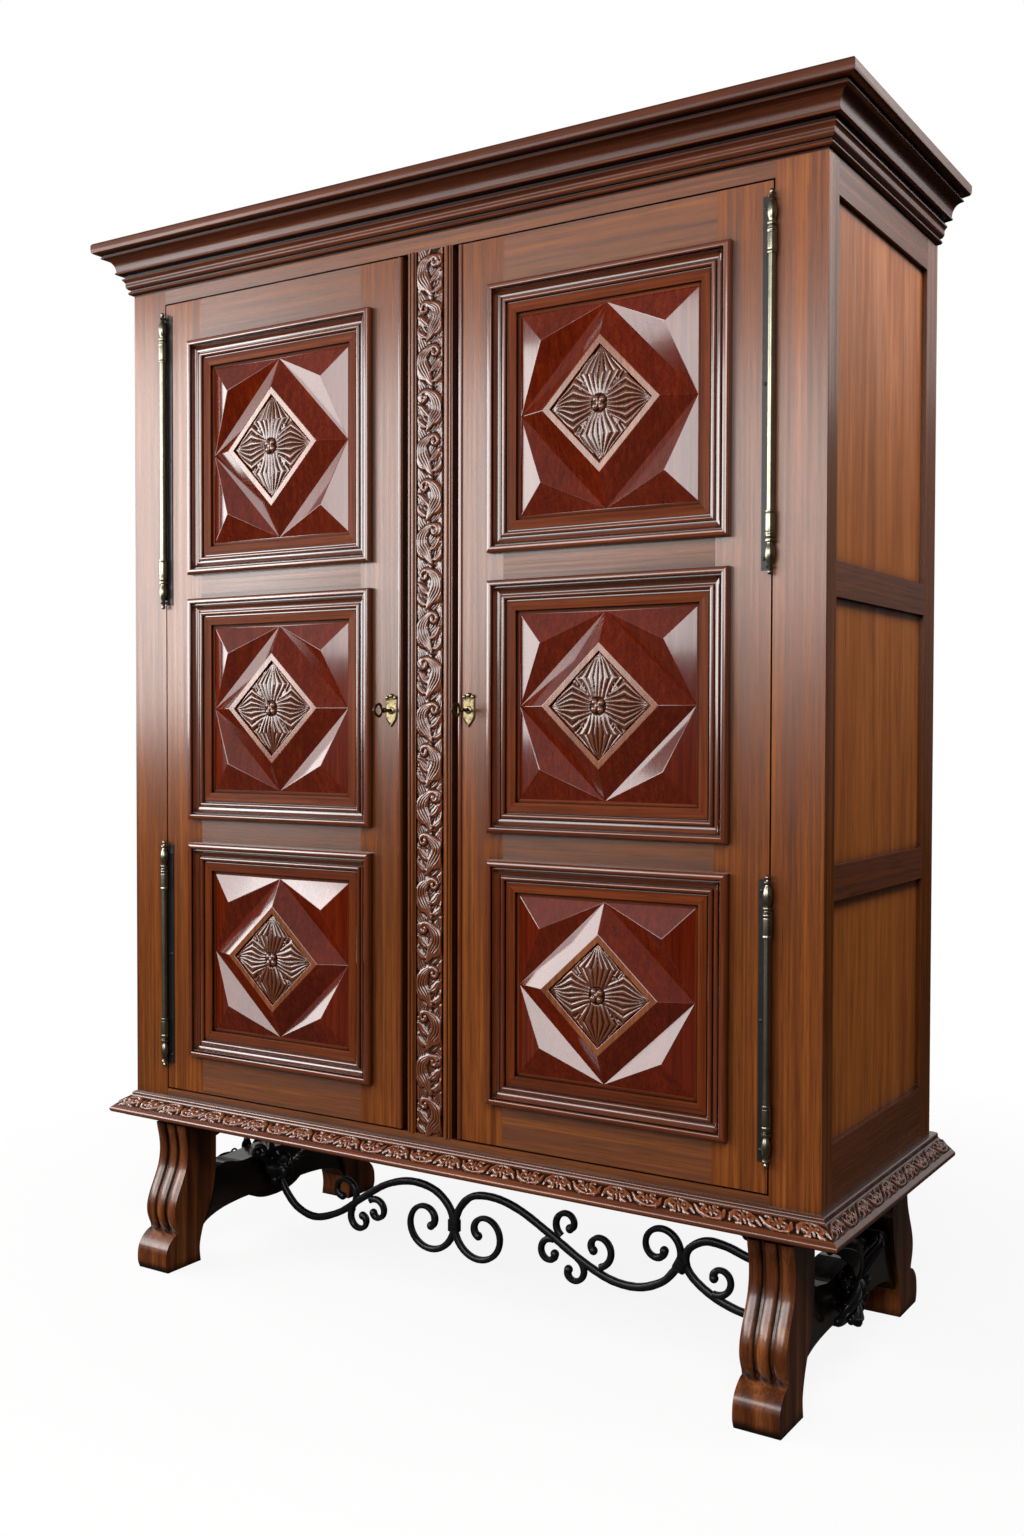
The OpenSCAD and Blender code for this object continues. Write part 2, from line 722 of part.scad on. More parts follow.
// The stretcher's long bars, as points across and up, and its curls, each with its centre,
// its outer and inner radius, and the angles where it leaves the bar and where it ends
mid = -150;
hub_x = rail_x0 - hub_t / 2;
left_bar = [[-hub_x, 122], [-600, 84], [-566, 54], [-515, 43], [-450, 65], [-390, 105],
    [-325, 145], [-260, 163], [-200, 155], [-162, 125], [mid, 88]];
right_bar = [[mid, 88], [-138, 125], [-105, 157], [-50, 163], [10, 148], [80, 113],
    [150, 75], [215, 50], [275, 48], [325, 68], [352, 96]];
end_bar = [[hub_x, 144], [560, 140], [505, 146], [455, 160], [412, 161], [378, 138],
    [376, 106], [402, 78], [450, 54], [510, 44], [572, 68], [hub_x, 118]];
curls = [
    [[mid - 68, 86], 68, 12, 2, -400],
    [[mid + 68, 86], 68, 12, 178, 580],
    [[-438, 113], 38, 12, -60, 250],
    [[-392, 60], 30, 9, 140, 420],
    [[-350, 84], 27, 10, 130, -150],
    [[119, 141], 30, 10, 240, -60],
    [[80, 78], 28, 10, 75, 350],
    [[131, 50], 30, 10, 70, -190],
    [[186, 105], 36, 11, -80, 210],
    [[318, 132], 50, 12, -48, 340],
    [[441, 96], 32, 10, -110, 180],
];

// Round bar between two points
module round_bar(a, b, r0, r1) {
    d = b - a;
    translate(a) rotate([0, acos(d.z / norm(d)), atan2(d.y, d.x)]) cylinder(h = norm(d), r1 = r0, r2 = r1);
}

// The hub at an end of the stretcher, with a ram's-horn curl, a spike and a brace up to the case
module stretcher_end() {
    drum_r = 17;
    drum_l = 44;
    horn_r = 12;
    horn_bar_r = 6;
    rail_gap = 2;
    foot_t = 5;
    front = [hub_x, stand_y - bar_t / 2, boss_z];
    horn = [rail_x0 - rail_gap - horn_bar_r - horn_r, stand_y - 76, boss_z + 54];
    drum = [rail_x0 - hub_t - drum_l, stand_y - 26, boss_z + 8];
    foot = [rail_x0 - 300, stand_y - 60, case_z - foot_t];
    translate([rail_x0 - hub_t, stand_y, boss_z]) rotate([0, 90, 0]) cylinder(h = hub_t, r = hub_r);
    translate(drum) rotate([0, 90, 0]) cylinder(h = drum_l + hub_t / 2, r = drum_r);
    round_bar(front, horn - [0, 0, horn_r], hub_t / 2 - rail_gap, horn_bar_r);
    translate(horn) rotate([90, 0, 0]) rotate_extrude() translate([horn_r, 0]) circle(horn_bar_r);
    round_bar(front + [-4, -18, 14], front + [-6, -34, 66], 9, 1);
    round_bar(drum + [drum_l / 3, 0, 0], foot, brace_r, brace_r);
    translate(foot) cylinder(h = foot_t, r = 2 * brace_r);
}

module iron_stretcher() {
    collar_w = 24;
    collar_h = 30;
    color(iron) {
        translate([0, stand_y, 0]) rotate([90, 0, 0]) {
            linear_extrude(bar_t, center = true) {
                for (bar = [left_bar, right_bar, end_bar])
                    polygon(bar_outline(smooth(bar, 4), bar_w, bar_w));
                for (c = curls) {
                    arm = spiral(c[0], c[1], c[2], c[3], c[4], round(abs(c[4] - c[3]) / 16));
                    polygon(bar_outline(arm, bar_w * 0.9, tip_w));
                    translate(arm[len(arm) - 1]) circle(eye_r);
                }
            }
            for (at = [[mid, 88], [364, 108]]) translate([at.x, at.y, 0])
                cube([collar_w, collar_h, bar_t + 6], center = true);
        }
        for (side = [-1, 1]) on_side(side) stretcher_end();
    }
}

// Bolt through each trestle rail to the stretcher's hub, with a domed boss and forged leaves outside
module iron_bosses() {
    dome = boss_r * 0.85;
    plate = 7;
    leaves = 8;
    color(iron) for (side = [-1, 1]) on_side(side)
        translate([0, stand_y, boss_z]) rotate([0, 90, 0]) {
            translate([0, 0, rail_x0]) cylinder(h = trestle_t, r = boss_bolt_r - 0.1);
            translate([0, 0, rail_x1]) cylinder(h = plate, r = boss_r);
            translate([0, 0, rail_x1 + plate]) intersection() {
                sphere(dome);
                cylinder(h = dome, r = dome);
            }
            translate([0, 0, rail_x1]) linear_extrude(plate - 2)
                for (i = [0:leaves - 1]) rotate(i * 360 / leaves) petal(boss_leaf_l, boss_leaf_l * 0.4);
        }
}

// Turned baluster of a hinge, as a section to spin: it stands on z = 0
module baluster_section(length) {
    r = knuckle_r;
    polygon([
        [0, 0], [r * 0.5, 0], [r * 0.85, length * 0.06], [r * 0.5, length * 0.13], [r * 0.9, length * 0.2],
        [r * 0.65, length * 0.26], [r * 0.95, length * 0.42], [r * 0.95, length * 0.6],
        [r * 0.7, length * 0.84], [r, length * 0.88], [r, length * 0.96], [r * 0.8, length], [0, length],
    ]);
}

module hinge_rods() {
    leaf_z0 = 0.3 * baluster_l;
    color(brass) for (side = [-1, 1], h = hinges) on_side(side) {
        translate([hinge_x, hinge_y, h[0]]) {
            rotate_extrude() baluster_section(baluster_l);
            translate([0, 0, h[1]]) mirror([0, 0, 1]) rotate_extrude() baluster_section(baluster_l);
            translate([0, 0, baluster_l]) cylinder(h = h[1] - 2 * baluster_l, r = rod_r);
        }
        for (z = [h[0] + leaf_z0, h[0] + h[1] - baluster_l])
            block([post_x - leaf_t, hinge_y + rod_r / 2, z],
                [post_x, front_y + leaf_reach, z + baluster_l - leaf_z0]);
    }
}

// The door's knuckles turn on the rods, next to the balusters
module hinge_knuckles(side) {
    rim = 0.5;
    color(brass) on_side(side) for (h = hinges) {
        for (z = [h[0] + baluster_l + rim, h[0] + h[1] - baluster_l - rim - knuckle_l]) difference() {
            union() {
                translate([hinge_x, hinge_y, z]) cylinder(h = knuckle_l, r = knuckle_r);
                block([door_x1, hinge_y, z], [door_x1 + leaf_t, front_y + leaf_reach, z + knuckle_l]);
            }
            translate([hinge_x, hinge_y, z - over])
                cylinder(h = knuckle_l + 2 * over, r = rod_r + rod_clear);
        }
    }
}

module lock_keepers() {
    lip = 5;
    color(steel) for (side = [-1, 1]) on_side(side) difference() {
        block([flange_x, door_back_y + 1, bolt_z - lip],
            [flange_x + keeper_t, post_back_y, bolt_z + bolt_h + lip]);
        block([flange_x - over, bolt_y - bolt_clear, bolt_z - bolt_clear],
            [flange_x + keeper_t + over, bolt_y + bolt_t + bolt_clear, bolt_z + bolt_h + bolt_clear]);
    }
}

// Places a frame that is modelled with its face at y = 0 in the plane of the doors
module in_door() {
    translate([0, front_y, 0]) children();
}

// Hole for the key's shank and bit, running back from the face that it is cut in
module keyhole(depth, y0) {
    r = shank_r + key_clear;
    translate([key_x, y0, key_z]) rotate([-90, 0, 0]) cylinder(h = depth, r = r);
    block([key_x - r / 2, y0, key_z - bit_l - key_clear], [key_x + r / 2, y0 + depth, key_z]);
}

module hinge_stile(side) {
    color(wood) on_side(side) difference() {
        block([door_x1 - stile_w, front_y, door_z0], [door_x1, door_back_y, door_z1]);
        in_door() translate([door_x1 - stile_w, 0, 0]) mirror([1, 0, 0])
            stile_cuts(door_rail_z, door_groove_y);
    }
}

module lock_stile(side) {
    color(wood) on_side(side) difference() {
        block([door_x0, front_y, door_z0], [door_x0 + stile_w, door_back_y, door_z1]);
        in_door() translate([door_x0 + stile_w, 0, 0]) stile_cuts(door_rail_z, door_groove_y);
        keyhole(door_t + 2 * over, front_y - over);
    }
}

module door_rails(side) {
    color(wood) on_side(side) in_door() for (i = [0:3])
        frame_rail(door_x0 + stile_w, door_x1 - stile_w, door_rail_z[i], door_t, door_groove_y, i > 0, i < 3);
}

// Section of a panel moulding: x inwards from its outer edge, y out of the door's face
module moulding_section() {
    r = moulding_bead_r;
    p = moulding_proud;
    w = moulding_w;
    difference() {
        union() {
            polygon([
                [0, 0], [0, p - r], [1, p - r], [2 * r + 1, p - r], [2 * r + 1, p - 6], [2 * r + 5, p - 6],
                [w - 27, p - 6], [w - 27, 5], [w - 22, 5], [w - 22, 3], [w - 6, 1], [w, 1],
                [w, -field_sink], [moulding_lap, -field_sink], [moulding_lap, 0],
            ]);
            translate([r + 1, p - r]) circle(r);
            translate([w - 18, 2]) circle(3.5);
            translate([w - 3, 0]) circle(3);
        }
        translate([w - 27, p]) circle(p - 5);
    }
}

// One length of moulding along X, cut at 45 degrees at both ends
module mitred_bar(length) {
    half = length / 2 - mitre_gap;
    intersection() {
        multmatrix([[0, 0, 1, 0], [0, -1, 0, 0], [1, 0, 0, 0], [0, 0, 0, 1]])
            linear_extrude(length, center = true) moulding_section();
        rotate([90, 0, 0]) translate([0, 0, -field_sink - over])
            linear_extrude(moulding_proud + field_sink + 2 * over) polygon([
                [-half, 0], [half, 0], [half - moulding_w, moulding_w], [moulding_w - half, moulding_w],
            ]);
    }
}

module door_mouldings(side) {
    color(wood) on_side(side) in_door() for (i = [0:2]) translate([panel_x, 0, panel_z0[i] + panel_hs[i] / 2])
        for (k = [0:3]) rotate([0, -90 * k, 0])
            translate([0, 0, -(k % 2 == 0 ? panel_hs[i] : panel_w) / 2])
                mitred_bar(k % 2 == 0 ? panel_w : panel_hs[i]);
}

// Faceted ground: a pyramid in each corner and a lozenge between the middles of the sides.
// x across, y up and z out of the panel
module faceted_field(w, h) {
    corners = [[-w, -h], [w, -h], [w, h], [-w, h]] / 2;
    sides = [[0, -h], [w, 0], [0, h], [-w, 0]] / 2;
    inset = [[1, 1], [-1, 1], [-1, -1], [1, -1]] * pyramid_inset;
    flat = sides * 2 * lozenge_half / w;
    points = concat(
        [for (p = corners) [p.x, p.y, 0]], [for (p = sides) [p.x, p.y, 0]],
        [for (i = [0:3]) [corners[i].x + inset[i].x, corners[i].y + inset[i].y, pyramid_rise]],
        [for (p = flat) [p.x, p.y, lozenge_rise]],
        [[0, 0, 0]]);
    faces = concat(
        [for (i = [0:3]) [i, 8 + i, 4 + i]],
        [for (i = [0:3]) [4 + i, 8 + i, 4 + (i + 3) % 4]],
        [for (i = [0:3]) [4 + (i + 3) % 4, 8 + i, i]],
        [for (i = [0:3]) [4 + i, 12 + i, 12 + (i + 1) % 4, 4 + (i + 1) % 4]],
        [[15, 14, 13, 12]],
        [for (i = [0:3]) [16, i, 4 + i]],
        [for (i = [0:3]) [16, 4 + i, (i + 1) % 4]]);
    polyhedron(points, faces);
}

module door_panels(side) {
    tongue = groove_d - joint_clear;
    open_w = panel_w - 2 * moulding_lap;
    color(panel_red) on_side(side) in_door() for (i = [0:2])
        translate([panel_x, 0, panel_z0[i] + panel_hs[i] / 2]) {
            open_h = panel_hs[i] - 2 * moulding_lap;
            pocket_z = pocket_zs[i];
            rotate([90, 0, 0]) translate([0, 0, -field_sink]) difference() {
                faceted_field(field_w, field_hs[i]);
                translate([0, 0, lozenge_rise - pocket_d]) linear_extrude(pocket_d + over)
                    polygon([[0, -pocket_z], [pocket_x, 0], [0, pocket_z], [-pocket_x, 0]]);
            }
            block([-open_w / 2, field_sink, -open_h / 2],
                [open_w / 2, door_groove_y + tongue_t, open_h / 2]);
            block([-open_w / 2 - tongue, door_groove_y, -open_h / 2 - tongue],
                [open_w / 2 + tongue, door_groove_y + tongue_t, open_h / 2 + tongue]);
        }
}

// Pointed petal along +X, from the middle outwards
module petal(length, width) {
    r = (length * length / 4 + width * width / 4) / width;
    translate([length / 2, 0]) intersection() {
        translate([0, r - width / 2]) circle(r, $fn = 96);
        translate([0, width / 2 - r]) circle(r, $fn = 96);
    }
}

module rosettes(side) {
    floor_out = lozenge_rise - field_sink - pocket_d;
    color(carved) on_side(side) in_door() for (i = [0:2])
        translate([panel_x, -floor_out, panel_z0[i] + panel_hs[i] / 2]) rotate([90, 0, 0]) {
            reach = [pocket_x, pocket_zs[i]] - petal_gap * [1, 1];
            linear_extrude(petal_t) for (k = [0:3]) rotate(90 * k) petal(reach[k % 2], petal_w);
            linear_extrude(petal_t * 0.7) for (k = [0:3]) rotate(90 * k + 45)
                petal(norm(reach) * 0.38, petal_w / 2);
            cylinder(h = petal_t + 4, r = button_r);
        }
}

module lock_case(side) {
    z0 = key_z - lock_case_h / 2;
    z1 = key_z + lock_case_h / 2;
    color(steel) on_side(side) difference() {
        block([lock_x0, door_back_y, z0], [lock_x0 + lock_case_w, lock_back_y, z1]);
        block([lock_x0 + lock_wall, door_back_y + lock_wall, z0 + lock_wall],
            [lock_x0 + lock_case_w - lock_wall, lock_back_y - lock_wall, z1 - lock_wall]);
        block([lock_x0 - over, bolt_y - bolt_clear, bolt_z - bolt_clear],
            [lock_x0 + lock_wall + over, bolt_y + bolt_t + bolt_clear, bolt_z + bolt_h + bolt_clear]);
        keyhole(lock_wall + 2 * over, door_back_y - over);
    }
}

// Plate with a pointed foot and three small balls on top
module escutcheon(side) {
    half = escutcheon_w / 2;
    top = escutcheon_h / 2;
    ball = 4;
    color(old_brass) on_side(side) difference() {
        translate([key_x, front_y, key_z]) rotate([90, 0, 0]) linear_extrude(escutcheon_t) {
            polygon([[-half, top], [-half, -top * 0.5], [-half * 0.7, -top * 0.85], [0, -top * 1.35],
                [half * 0.7, -top * 0.85], [half, -top * 0.5], [half, top]]);
            for (x = [-half + ball, 0, half - ball])
                translate([x, top + (x == 0 ? ball * 0.7 : 0)]) circle(ball);
        }
        keyhole(escutcheon_t + 2 * over, front_y - escutcheon_t - over);
    }
}

module key(side) {
    tip_y = lock_back_y - lock_wall - 2;
    bow_y = front_y - shank_out - bow_r;
    bit_y0 = door_back_y + lock_wall + 3;
    bow_t = 5;
    color(old_brass) on_side(side) {
        translate([key_x, bow_y + bow_r - 3, key_z]) rotate([-90, 0, 0])
            cylinder(h = tip_y - bow_y - bow_r + 3, r = shank_r);
        translate([key_x, bow_y, key_z]) rotate([0, 90, 0])
            linear_extrude(bow_t, center = true) difference() {
                circle(bow_r);
                circle(bow_r * 0.55);
            }
        translate([key_x, bow_y + bow_r + 6, key_z]) rotate([-90, 0, 0]) cylinder(h = 4, r = shank_r + 2);
        block([key_x - 1.5, bit_y0, key_z - bit_l], [key_x + 1.5, tip_y - 1, key_z]);
    }
}

module bolt(side) {
    color(steel) on_side(side)
        block([lock_x0, bolt_y, bolt_z], [lock_x0 + bolt_l, bolt_y + bolt_t, bolt_z + bolt_h]);
}

front_post(-1);  // left_front_post
front_post(1);  // right_front_post
rear_post(-1);  // left_rear_post
rear_post(1);  // right_rear_post
centre_post();
centre_carving();
front_top_rail();
front_bottom_rail();
side_rails(-1);  // left_side_rails
side_rails(1);  // right_side_rails
side_panels(-1);  // left_side_panels
side_panels(1);  // right_side_panels
back_rails();
back_boards();
bottom_board();
top_board();
cornice_front();
cornice_side(-1);  // cornice_left
cornice_side(1);  // cornice_right
shelves();
shelf_cleats();
base_front();
base_side(-1);  // base_left
base_side(1);  // base_right
base_rear();
bearer(-1);  // left_bearer
bearer(1);  // right_bearer
leg(-1, true);  // left_front_leg
leg(1, true);  // right_front_leg
leg(-1, false);  // left_rear_leg
leg(1, false);  // right_rear_leg
trestle_rail(-1);  // left_trestle_rail
trestle_rail(1);  // right_trestle_rail
iron_stretcher();
iron_bosses();
hinge_rods();
lock_keepers();
hinge_stile(-1);  // left_hinge_stile
lock_stile(-1);  // left_lock_stile
door_rails(-1);  // left_door_rails
door_mouldings(-1);  // left_door_mouldings
door_panels(-1);  // left_door_panels
rosettes(-1);  // left_rosettes
lock_case(-1);  // left_lock_case
escutcheon(-1);  // left_escutcheon
hinge_knuckles(-1);  // left_hinge_knuckles
key(-1);  // left_key
bolt(-1);  // left_bolt
hinge_stile(1);  // right_hinge_stile
lock_stile(1);  // right_lock_stile
door_rails(1);  // right_door_rails
door_mouldings(1);  // right_door_mouldings
door_panels(1);  // right_door_panels
rosettes(1);  // right_rosettes
lock_case(1);  // right_lock_case
escutcheon(1);  // right_escutcheon
hinge_knuckles(1);  // right_hinge_knuckles
key(1);  // right_key
bolt(1);  // right_bolt
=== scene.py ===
"""Looks of the two-door carved armoire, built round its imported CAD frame."""

import math

import bmesh
import bpy
import numpy as np
from mathutils import Matrix, Vector


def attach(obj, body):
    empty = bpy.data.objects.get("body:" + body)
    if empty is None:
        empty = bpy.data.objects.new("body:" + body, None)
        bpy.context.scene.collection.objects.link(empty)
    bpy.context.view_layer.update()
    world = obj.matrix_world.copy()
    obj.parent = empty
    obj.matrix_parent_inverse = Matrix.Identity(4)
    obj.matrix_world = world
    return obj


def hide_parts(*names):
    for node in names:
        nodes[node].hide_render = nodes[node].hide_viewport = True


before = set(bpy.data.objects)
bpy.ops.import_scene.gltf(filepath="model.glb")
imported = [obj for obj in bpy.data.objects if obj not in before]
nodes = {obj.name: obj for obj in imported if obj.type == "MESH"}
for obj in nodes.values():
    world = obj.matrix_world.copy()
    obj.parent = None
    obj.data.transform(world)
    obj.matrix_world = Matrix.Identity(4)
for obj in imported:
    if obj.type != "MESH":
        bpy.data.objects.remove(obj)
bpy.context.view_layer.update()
rng = np.random.default_rng(7)


# Case and door frames: walnut posts and stiles with upright grain, and rails with level grain,
# tenoned together and wax polished. Wax fills the pores, the hollows get painted shade, and the
# brushed polish spreads its sheen across the grain.
def fill(node, sockets):
    """Sets sockets of a node to constants, or links other nodes' sockets to them."""
    for socket, value in sockets.items():
        if isinstance(value, bpy.types.NodeSocket):
            node.id_data.links.new(value, node.inputs[socket])
        else:
            node.inputs[socket].default_value = value
    return node


def add(tree, kind, sockets=None, **options):
    node = tree.nodes.new("ShaderNode" + kind)
    for option, value in options.items():
        setattr(node, option, value)
    return fill(node, sockets or {})


def spread(tree, value, low, high, start, end, blend="LINEAR"):
    """Spreads a value from low to high over start to end, and holds it beyond them."""
    ends = {"Value": value, "From Min": low, "From Max": high, "To Min": start, "To Max": end}
    return add(tree, "MapRange", ends, interpolation_type=blend).outputs["Result"]


def ramp(tree, value, stops):
    node = add(tree, "ValToRGB", {"Fac": value})
    while len(node.color_ramp.elements) < len(stops):
        node.color_ramp.elements.new(0.5)
    for element, (position, colour) in zip(node.color_ramp.elements, stops):
        element.position = position
        element.color = (*colour, 1.0)
    return node.outputs["Color"]


def bump(tree, shader, height, strength, depth):
    rough = add(tree, "Bump", {"Height": height, "Strength": strength, "Distance": depth})
    fill(shader, {"Normal": rough.outputs["Normal"]})


def wood(name, grain, tones, gloss=0.27, coat=0.0, contrast=0.9, figure=0.25, fine=120.0,
         across=0.7, shade_reach=0.03, shade_depth=0.3, shine=0.5):
    """Polished wood in a dark, a middle and a light tone, with its grain along one axis.

    Full shade depth is for carving: painted shade where its relief attribute is above 0, and
    lighter below 0, partly wear and partly painted highlight. Hollows get painted shade.
    """
    material = bpy.data.materials.new(name)
    material.use_nodes = True
    tree = material.node_tree
    shader = tree.nodes["Principled BSDF"]
    place = add(tree, "TexCoord").outputs["Object"]

    def streaks(width, length, detail, distortion):
        scale = [width] * 3
        scale["xyz".index(grain)] = length
        mapping = add(tree, "Mapping", {"Vector": place, "Scale": scale})
        return add(tree, "TexNoise", {
            "Vector": mapping.outputs["Vector"], "Scale": 1.0, "Detail": detail,
            "Roughness": 0.6, "Distortion": distortion,
        }).outputs["Fac"]

    def darken(colour, value, low, dark, high, light, share):
        shade = ramp(tree, value, [(low, dark), (high, light)])
        mixed = add(tree, "Mix", {0: share, 6: colour, 7: shade}, data_type="RGBA", blend_type="MULTIPLY")
        return mixed.outputs[2]

    broad = streaks(fine, 1.3, 5.0, figure)
    half = 0.2 / contrast
    colour = ramp(tree, broad, [(0.5 - half, tones[0]), (0.5, tones[1]), (0.5 + half, tones[2])])
    pores = streaks(420.0, 10.0, 3.0, 0.0)
    colour = darken(colour, pores, 0.36, [0.4] * 3, 0.52, [1.0] * 3, 0.6)
    boards = streaks(12.0, 0.8, 4.0, 0.5)
    colour = darken(colour, boards, 0.32, [0.72] * 3, 0.66, [1.12] * 3, 0.9)
    # Painted shade: ambient occlusion darkens the colour in hollows and where parts meet or overhang.
    if shade_reach:
        occlusion_shade = add(tree, "AmbientOcclusion", {"Distance": shade_reach}, samples=5)
        dark = [c * (1.0 - 0.85 * shade_depth) for c in (0.16, 0.09, 0.07)]
        colour = darken(colour, occlusion_shade.outputs["AO"], 0.22 + 0.4 * shade_depth, dark, 0.95, [1.0] * 3, 1.0)
    polish = {"Specular IOR Level": shine, "Coat Weight": coat}
    # Carving: near-black painted shade in grooves and on the ground, and lighter ridges that are partly wear
    # and partly painted highlight.
    if shade_depth == 1.0:
        cut = add(tree, "Attribute", attribute_name="relief").outputs["Fac"]
        groove_shade, worn_and_highlit = (0.010, 0.004, 0.002), [c * 1.3 for c in tones[2]]
        for reach, tone, most in ((1.0, groove_shade, 0.94), (-1.0, worn_and_highlit, 0.55)):
            share = spread(tree, cut, 0.0, reach, 0.0, most)
            stain = add(tree, "Mix", {0: share, 6: colour, 7: (*tone, 1.0)}, data_type="RGBA")
            colour = stain.outputs[2]
        for socket, most in polish.items():
            polish[socket] = spread(tree, cut, 0.2, 0.9, most, most * 0.1)
    facing = add(tree, "NewGeometry").outputs["Normal"]
    axis = add(tree, "VectorTransform", {"Vector": [float(a == grain) for a in "xyz"]},
               vector_type="VECTOR", convert_from="OBJECT", convert_to="WORLD").outputs["Vector"]
    brushed = add(tree, "VectorMath", {0: facing, 1: axis}, operation="CROSS_PRODUCT")
    fill(shader, polish)
    fill(shader, {
        "Base Color": colour, "Roughness": spread(tree, broad, 0.3, 0.7, gloss * 1.25, gloss * 0.8),
        "Coat Roughness": gloss * 0.5, "Anisotropic": across, "Tangent": brushed.outputs["Vector"],
    })
    bump(tree, shader, pores, 0.06, 0.0005)
    return material


def dress(endings, material, bevel=0.0, segments=2):
    """Gives the CAD nodes whose names end so a material, and their bare edges a fine bevel."""
    for name, node in nodes.items():
        if not name.endswith(endings):
            continue
        node.data.materials.clear()
        node.data.materials.append(material)
        if bevel:
            rounding = node.modifiers.new("edge_rounding", "BEVEL")
            rounding.width = bevel
            rounding.segments = segments
            rounding.limit_method = "ANGLE"
            rounding.angle_limit = math.radians(40.0)


BARE_EDGE = 0.0012
walnut = [(0.08, 0.019, 0.003), (0.175, 0.045, 0.008), (0.285, 0.086, 0.017)]
rails = [(0.065, 0.017, 0.004), (0.14, 0.039, 0.009), (0.24, 0.077, 0.019)]
dusk = [(0.07, 0.017, 0.004), (0.15, 0.038, 0.010), (0.23, 0.065, 0.018)]
frame_up = wood("frame_wood_up", "z", walnut, shine=0.66)
frame_across = wood("frame_wood_across", "x", rails, shine=0.6)
frame_deep = wood("frame_wood_deep", "y", dusk)
dress(("_post", "_stile"), frame_up, BARE_EDGE)
dress(("top_rail", "bottom_rail", "door_rails", "base_rear"), frame_across, BARE_EDGE)
dress("side_rails", frame_deep, BARE_EDGE)

# Sides: three orange-brown panels a side, plain sawn, grooved into the posts and rails and only
# lightly polished.
amber = [(0.26, 0.064, 0.010), (0.44, 0.124, 0.021), (0.60, 0.190, 0.040)]
dress("side_panels", wood("side_panel_wood", "z", amber, gloss=0.42, figure=0.6, fine=22.0, across=0.3))

# Inside and back: pale oak boards, planed and left bare: the back with its rails, the top and
# bottom boards, and the shelves on their cleats.
plain = [(0.3, 0.18, 0.09), (0.42, 0.27, 0.14), (0.52, 0.36, 0.21)]
dress(("back_boards", "shelf_cleats"), wood("inner_wood", "z", plain, gloss=0.6, shade_reach=0.0))
dress(("back_rails", "bottom_board", "top_board", "shelves"),
      wood("inner_wood_across", "x", plain, gloss=0.6, shade_reach=0.0))


# Panel mouldings: three mitred frames of russet wood on each door, cut with a moulding plane: a
# tall bead, a cove and a low bead between quirks, and a flat margin at the panel. All new shapes
# are drawn in millimetres in the frame's own place.
MM = 0.001
SIDES = {"left": -1, "right": 1}
FACE = -290.5
PANEL_X, PANEL_W = 360.5, 461.0
PANELS = ((659.5, 433.0), (1146.0, 444.0), (1650.0, 468.0))
MARGIN, MITRE_GAP = 37.7, 0.1


def piece(name, solid, materials, body, replaced=(), sharp=35.0, facing=None):
    """Puts a solid on a body in place of CAD nodes, smooth up to an angle, or faceted for 0.

    An open sheet is turned so that it faces a given way.
    """
    bmesh.ops.recalc_face_normals(solid, faces=solid.faces)
    solid.normal_update()
    if facing and sum((f.normal * f.calc_area() for f in solid.faces), Vector()).dot(Vector(facing)) < 0.0:
        bmesh.ops.reverse_faces(solid, faces=solid.faces)
    bmesh.ops.scale(solid, vec=(MM, MM, MM), verts=solid.verts)
    mesh = bpy.data.meshes.new(name)
    solid.to_mesh(mesh)
    solid.free()
    for material in materials:
        mesh.materials.append(material)
    obj = bpy.data.objects.new(name, mesh)
    bpy.context.scene.collection.objects.link(obj)
    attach(obj, body)
    if replaced:
        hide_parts(*replaced)
    if not sharp:
        mesh.shade_flat()
        return
    mesh.shade_smooth()
    mesh.set_sharp_from_angle(angle=math.radians(sharp))
    if sharp < 60.0:
        obj.modifiers.new("weighted_normals", "WEIGHTED_NORMAL").keep_sharp = True


def join(solid, form, pick=None):
    """Adds a finished form to a solid, all in one of its materials where pick gives that."""
    if pick is not None:
        for face in form.faces:
            face.material_index = pick
    mesh = bpy.data.meshes.new("form")
    form.to_mesh(mesh)
    form.free()
    solid.from_mesh(mesh)
    bpy.data.meshes.remove(mesh)


def sheet(spots):
    """A sheet of quads on a grid of points."""
    rows, columns = spots.shape[:2]
    form = bmesh.new()
    bmesh.ops.create_grid(form, x_segments=columns - 1, y_segments=rows - 1, size=1.0)
    for vert, spot in zip(form.verts, spots.reshape(-1, 3)):
        vert.co = spot
    return form


def skin(rings):
    """A closed skin round rings of points that follow one another."""
    rings = np.asarray(rings, float)
    form = sheet(np.concatenate([rings, rings[:, :1]], axis=1))
    verts, row = list(form.verts), rings.shape[1] + 1
    bmesh.ops.weld_verts(form, targetmap=dict(zip(verts[row - 1::row], verts[::row])))
    bmesh.ops.holes_fill(form, edges=form.edges, sides=0)
    return form


def arc(x, y, rx, ry, start, end, steps):
    turn = np.radians(np.linspace(start, end, steps + 1))
    return [(x + rx * math.cos(a), y + ry * math.sin(a)) for a in turn]


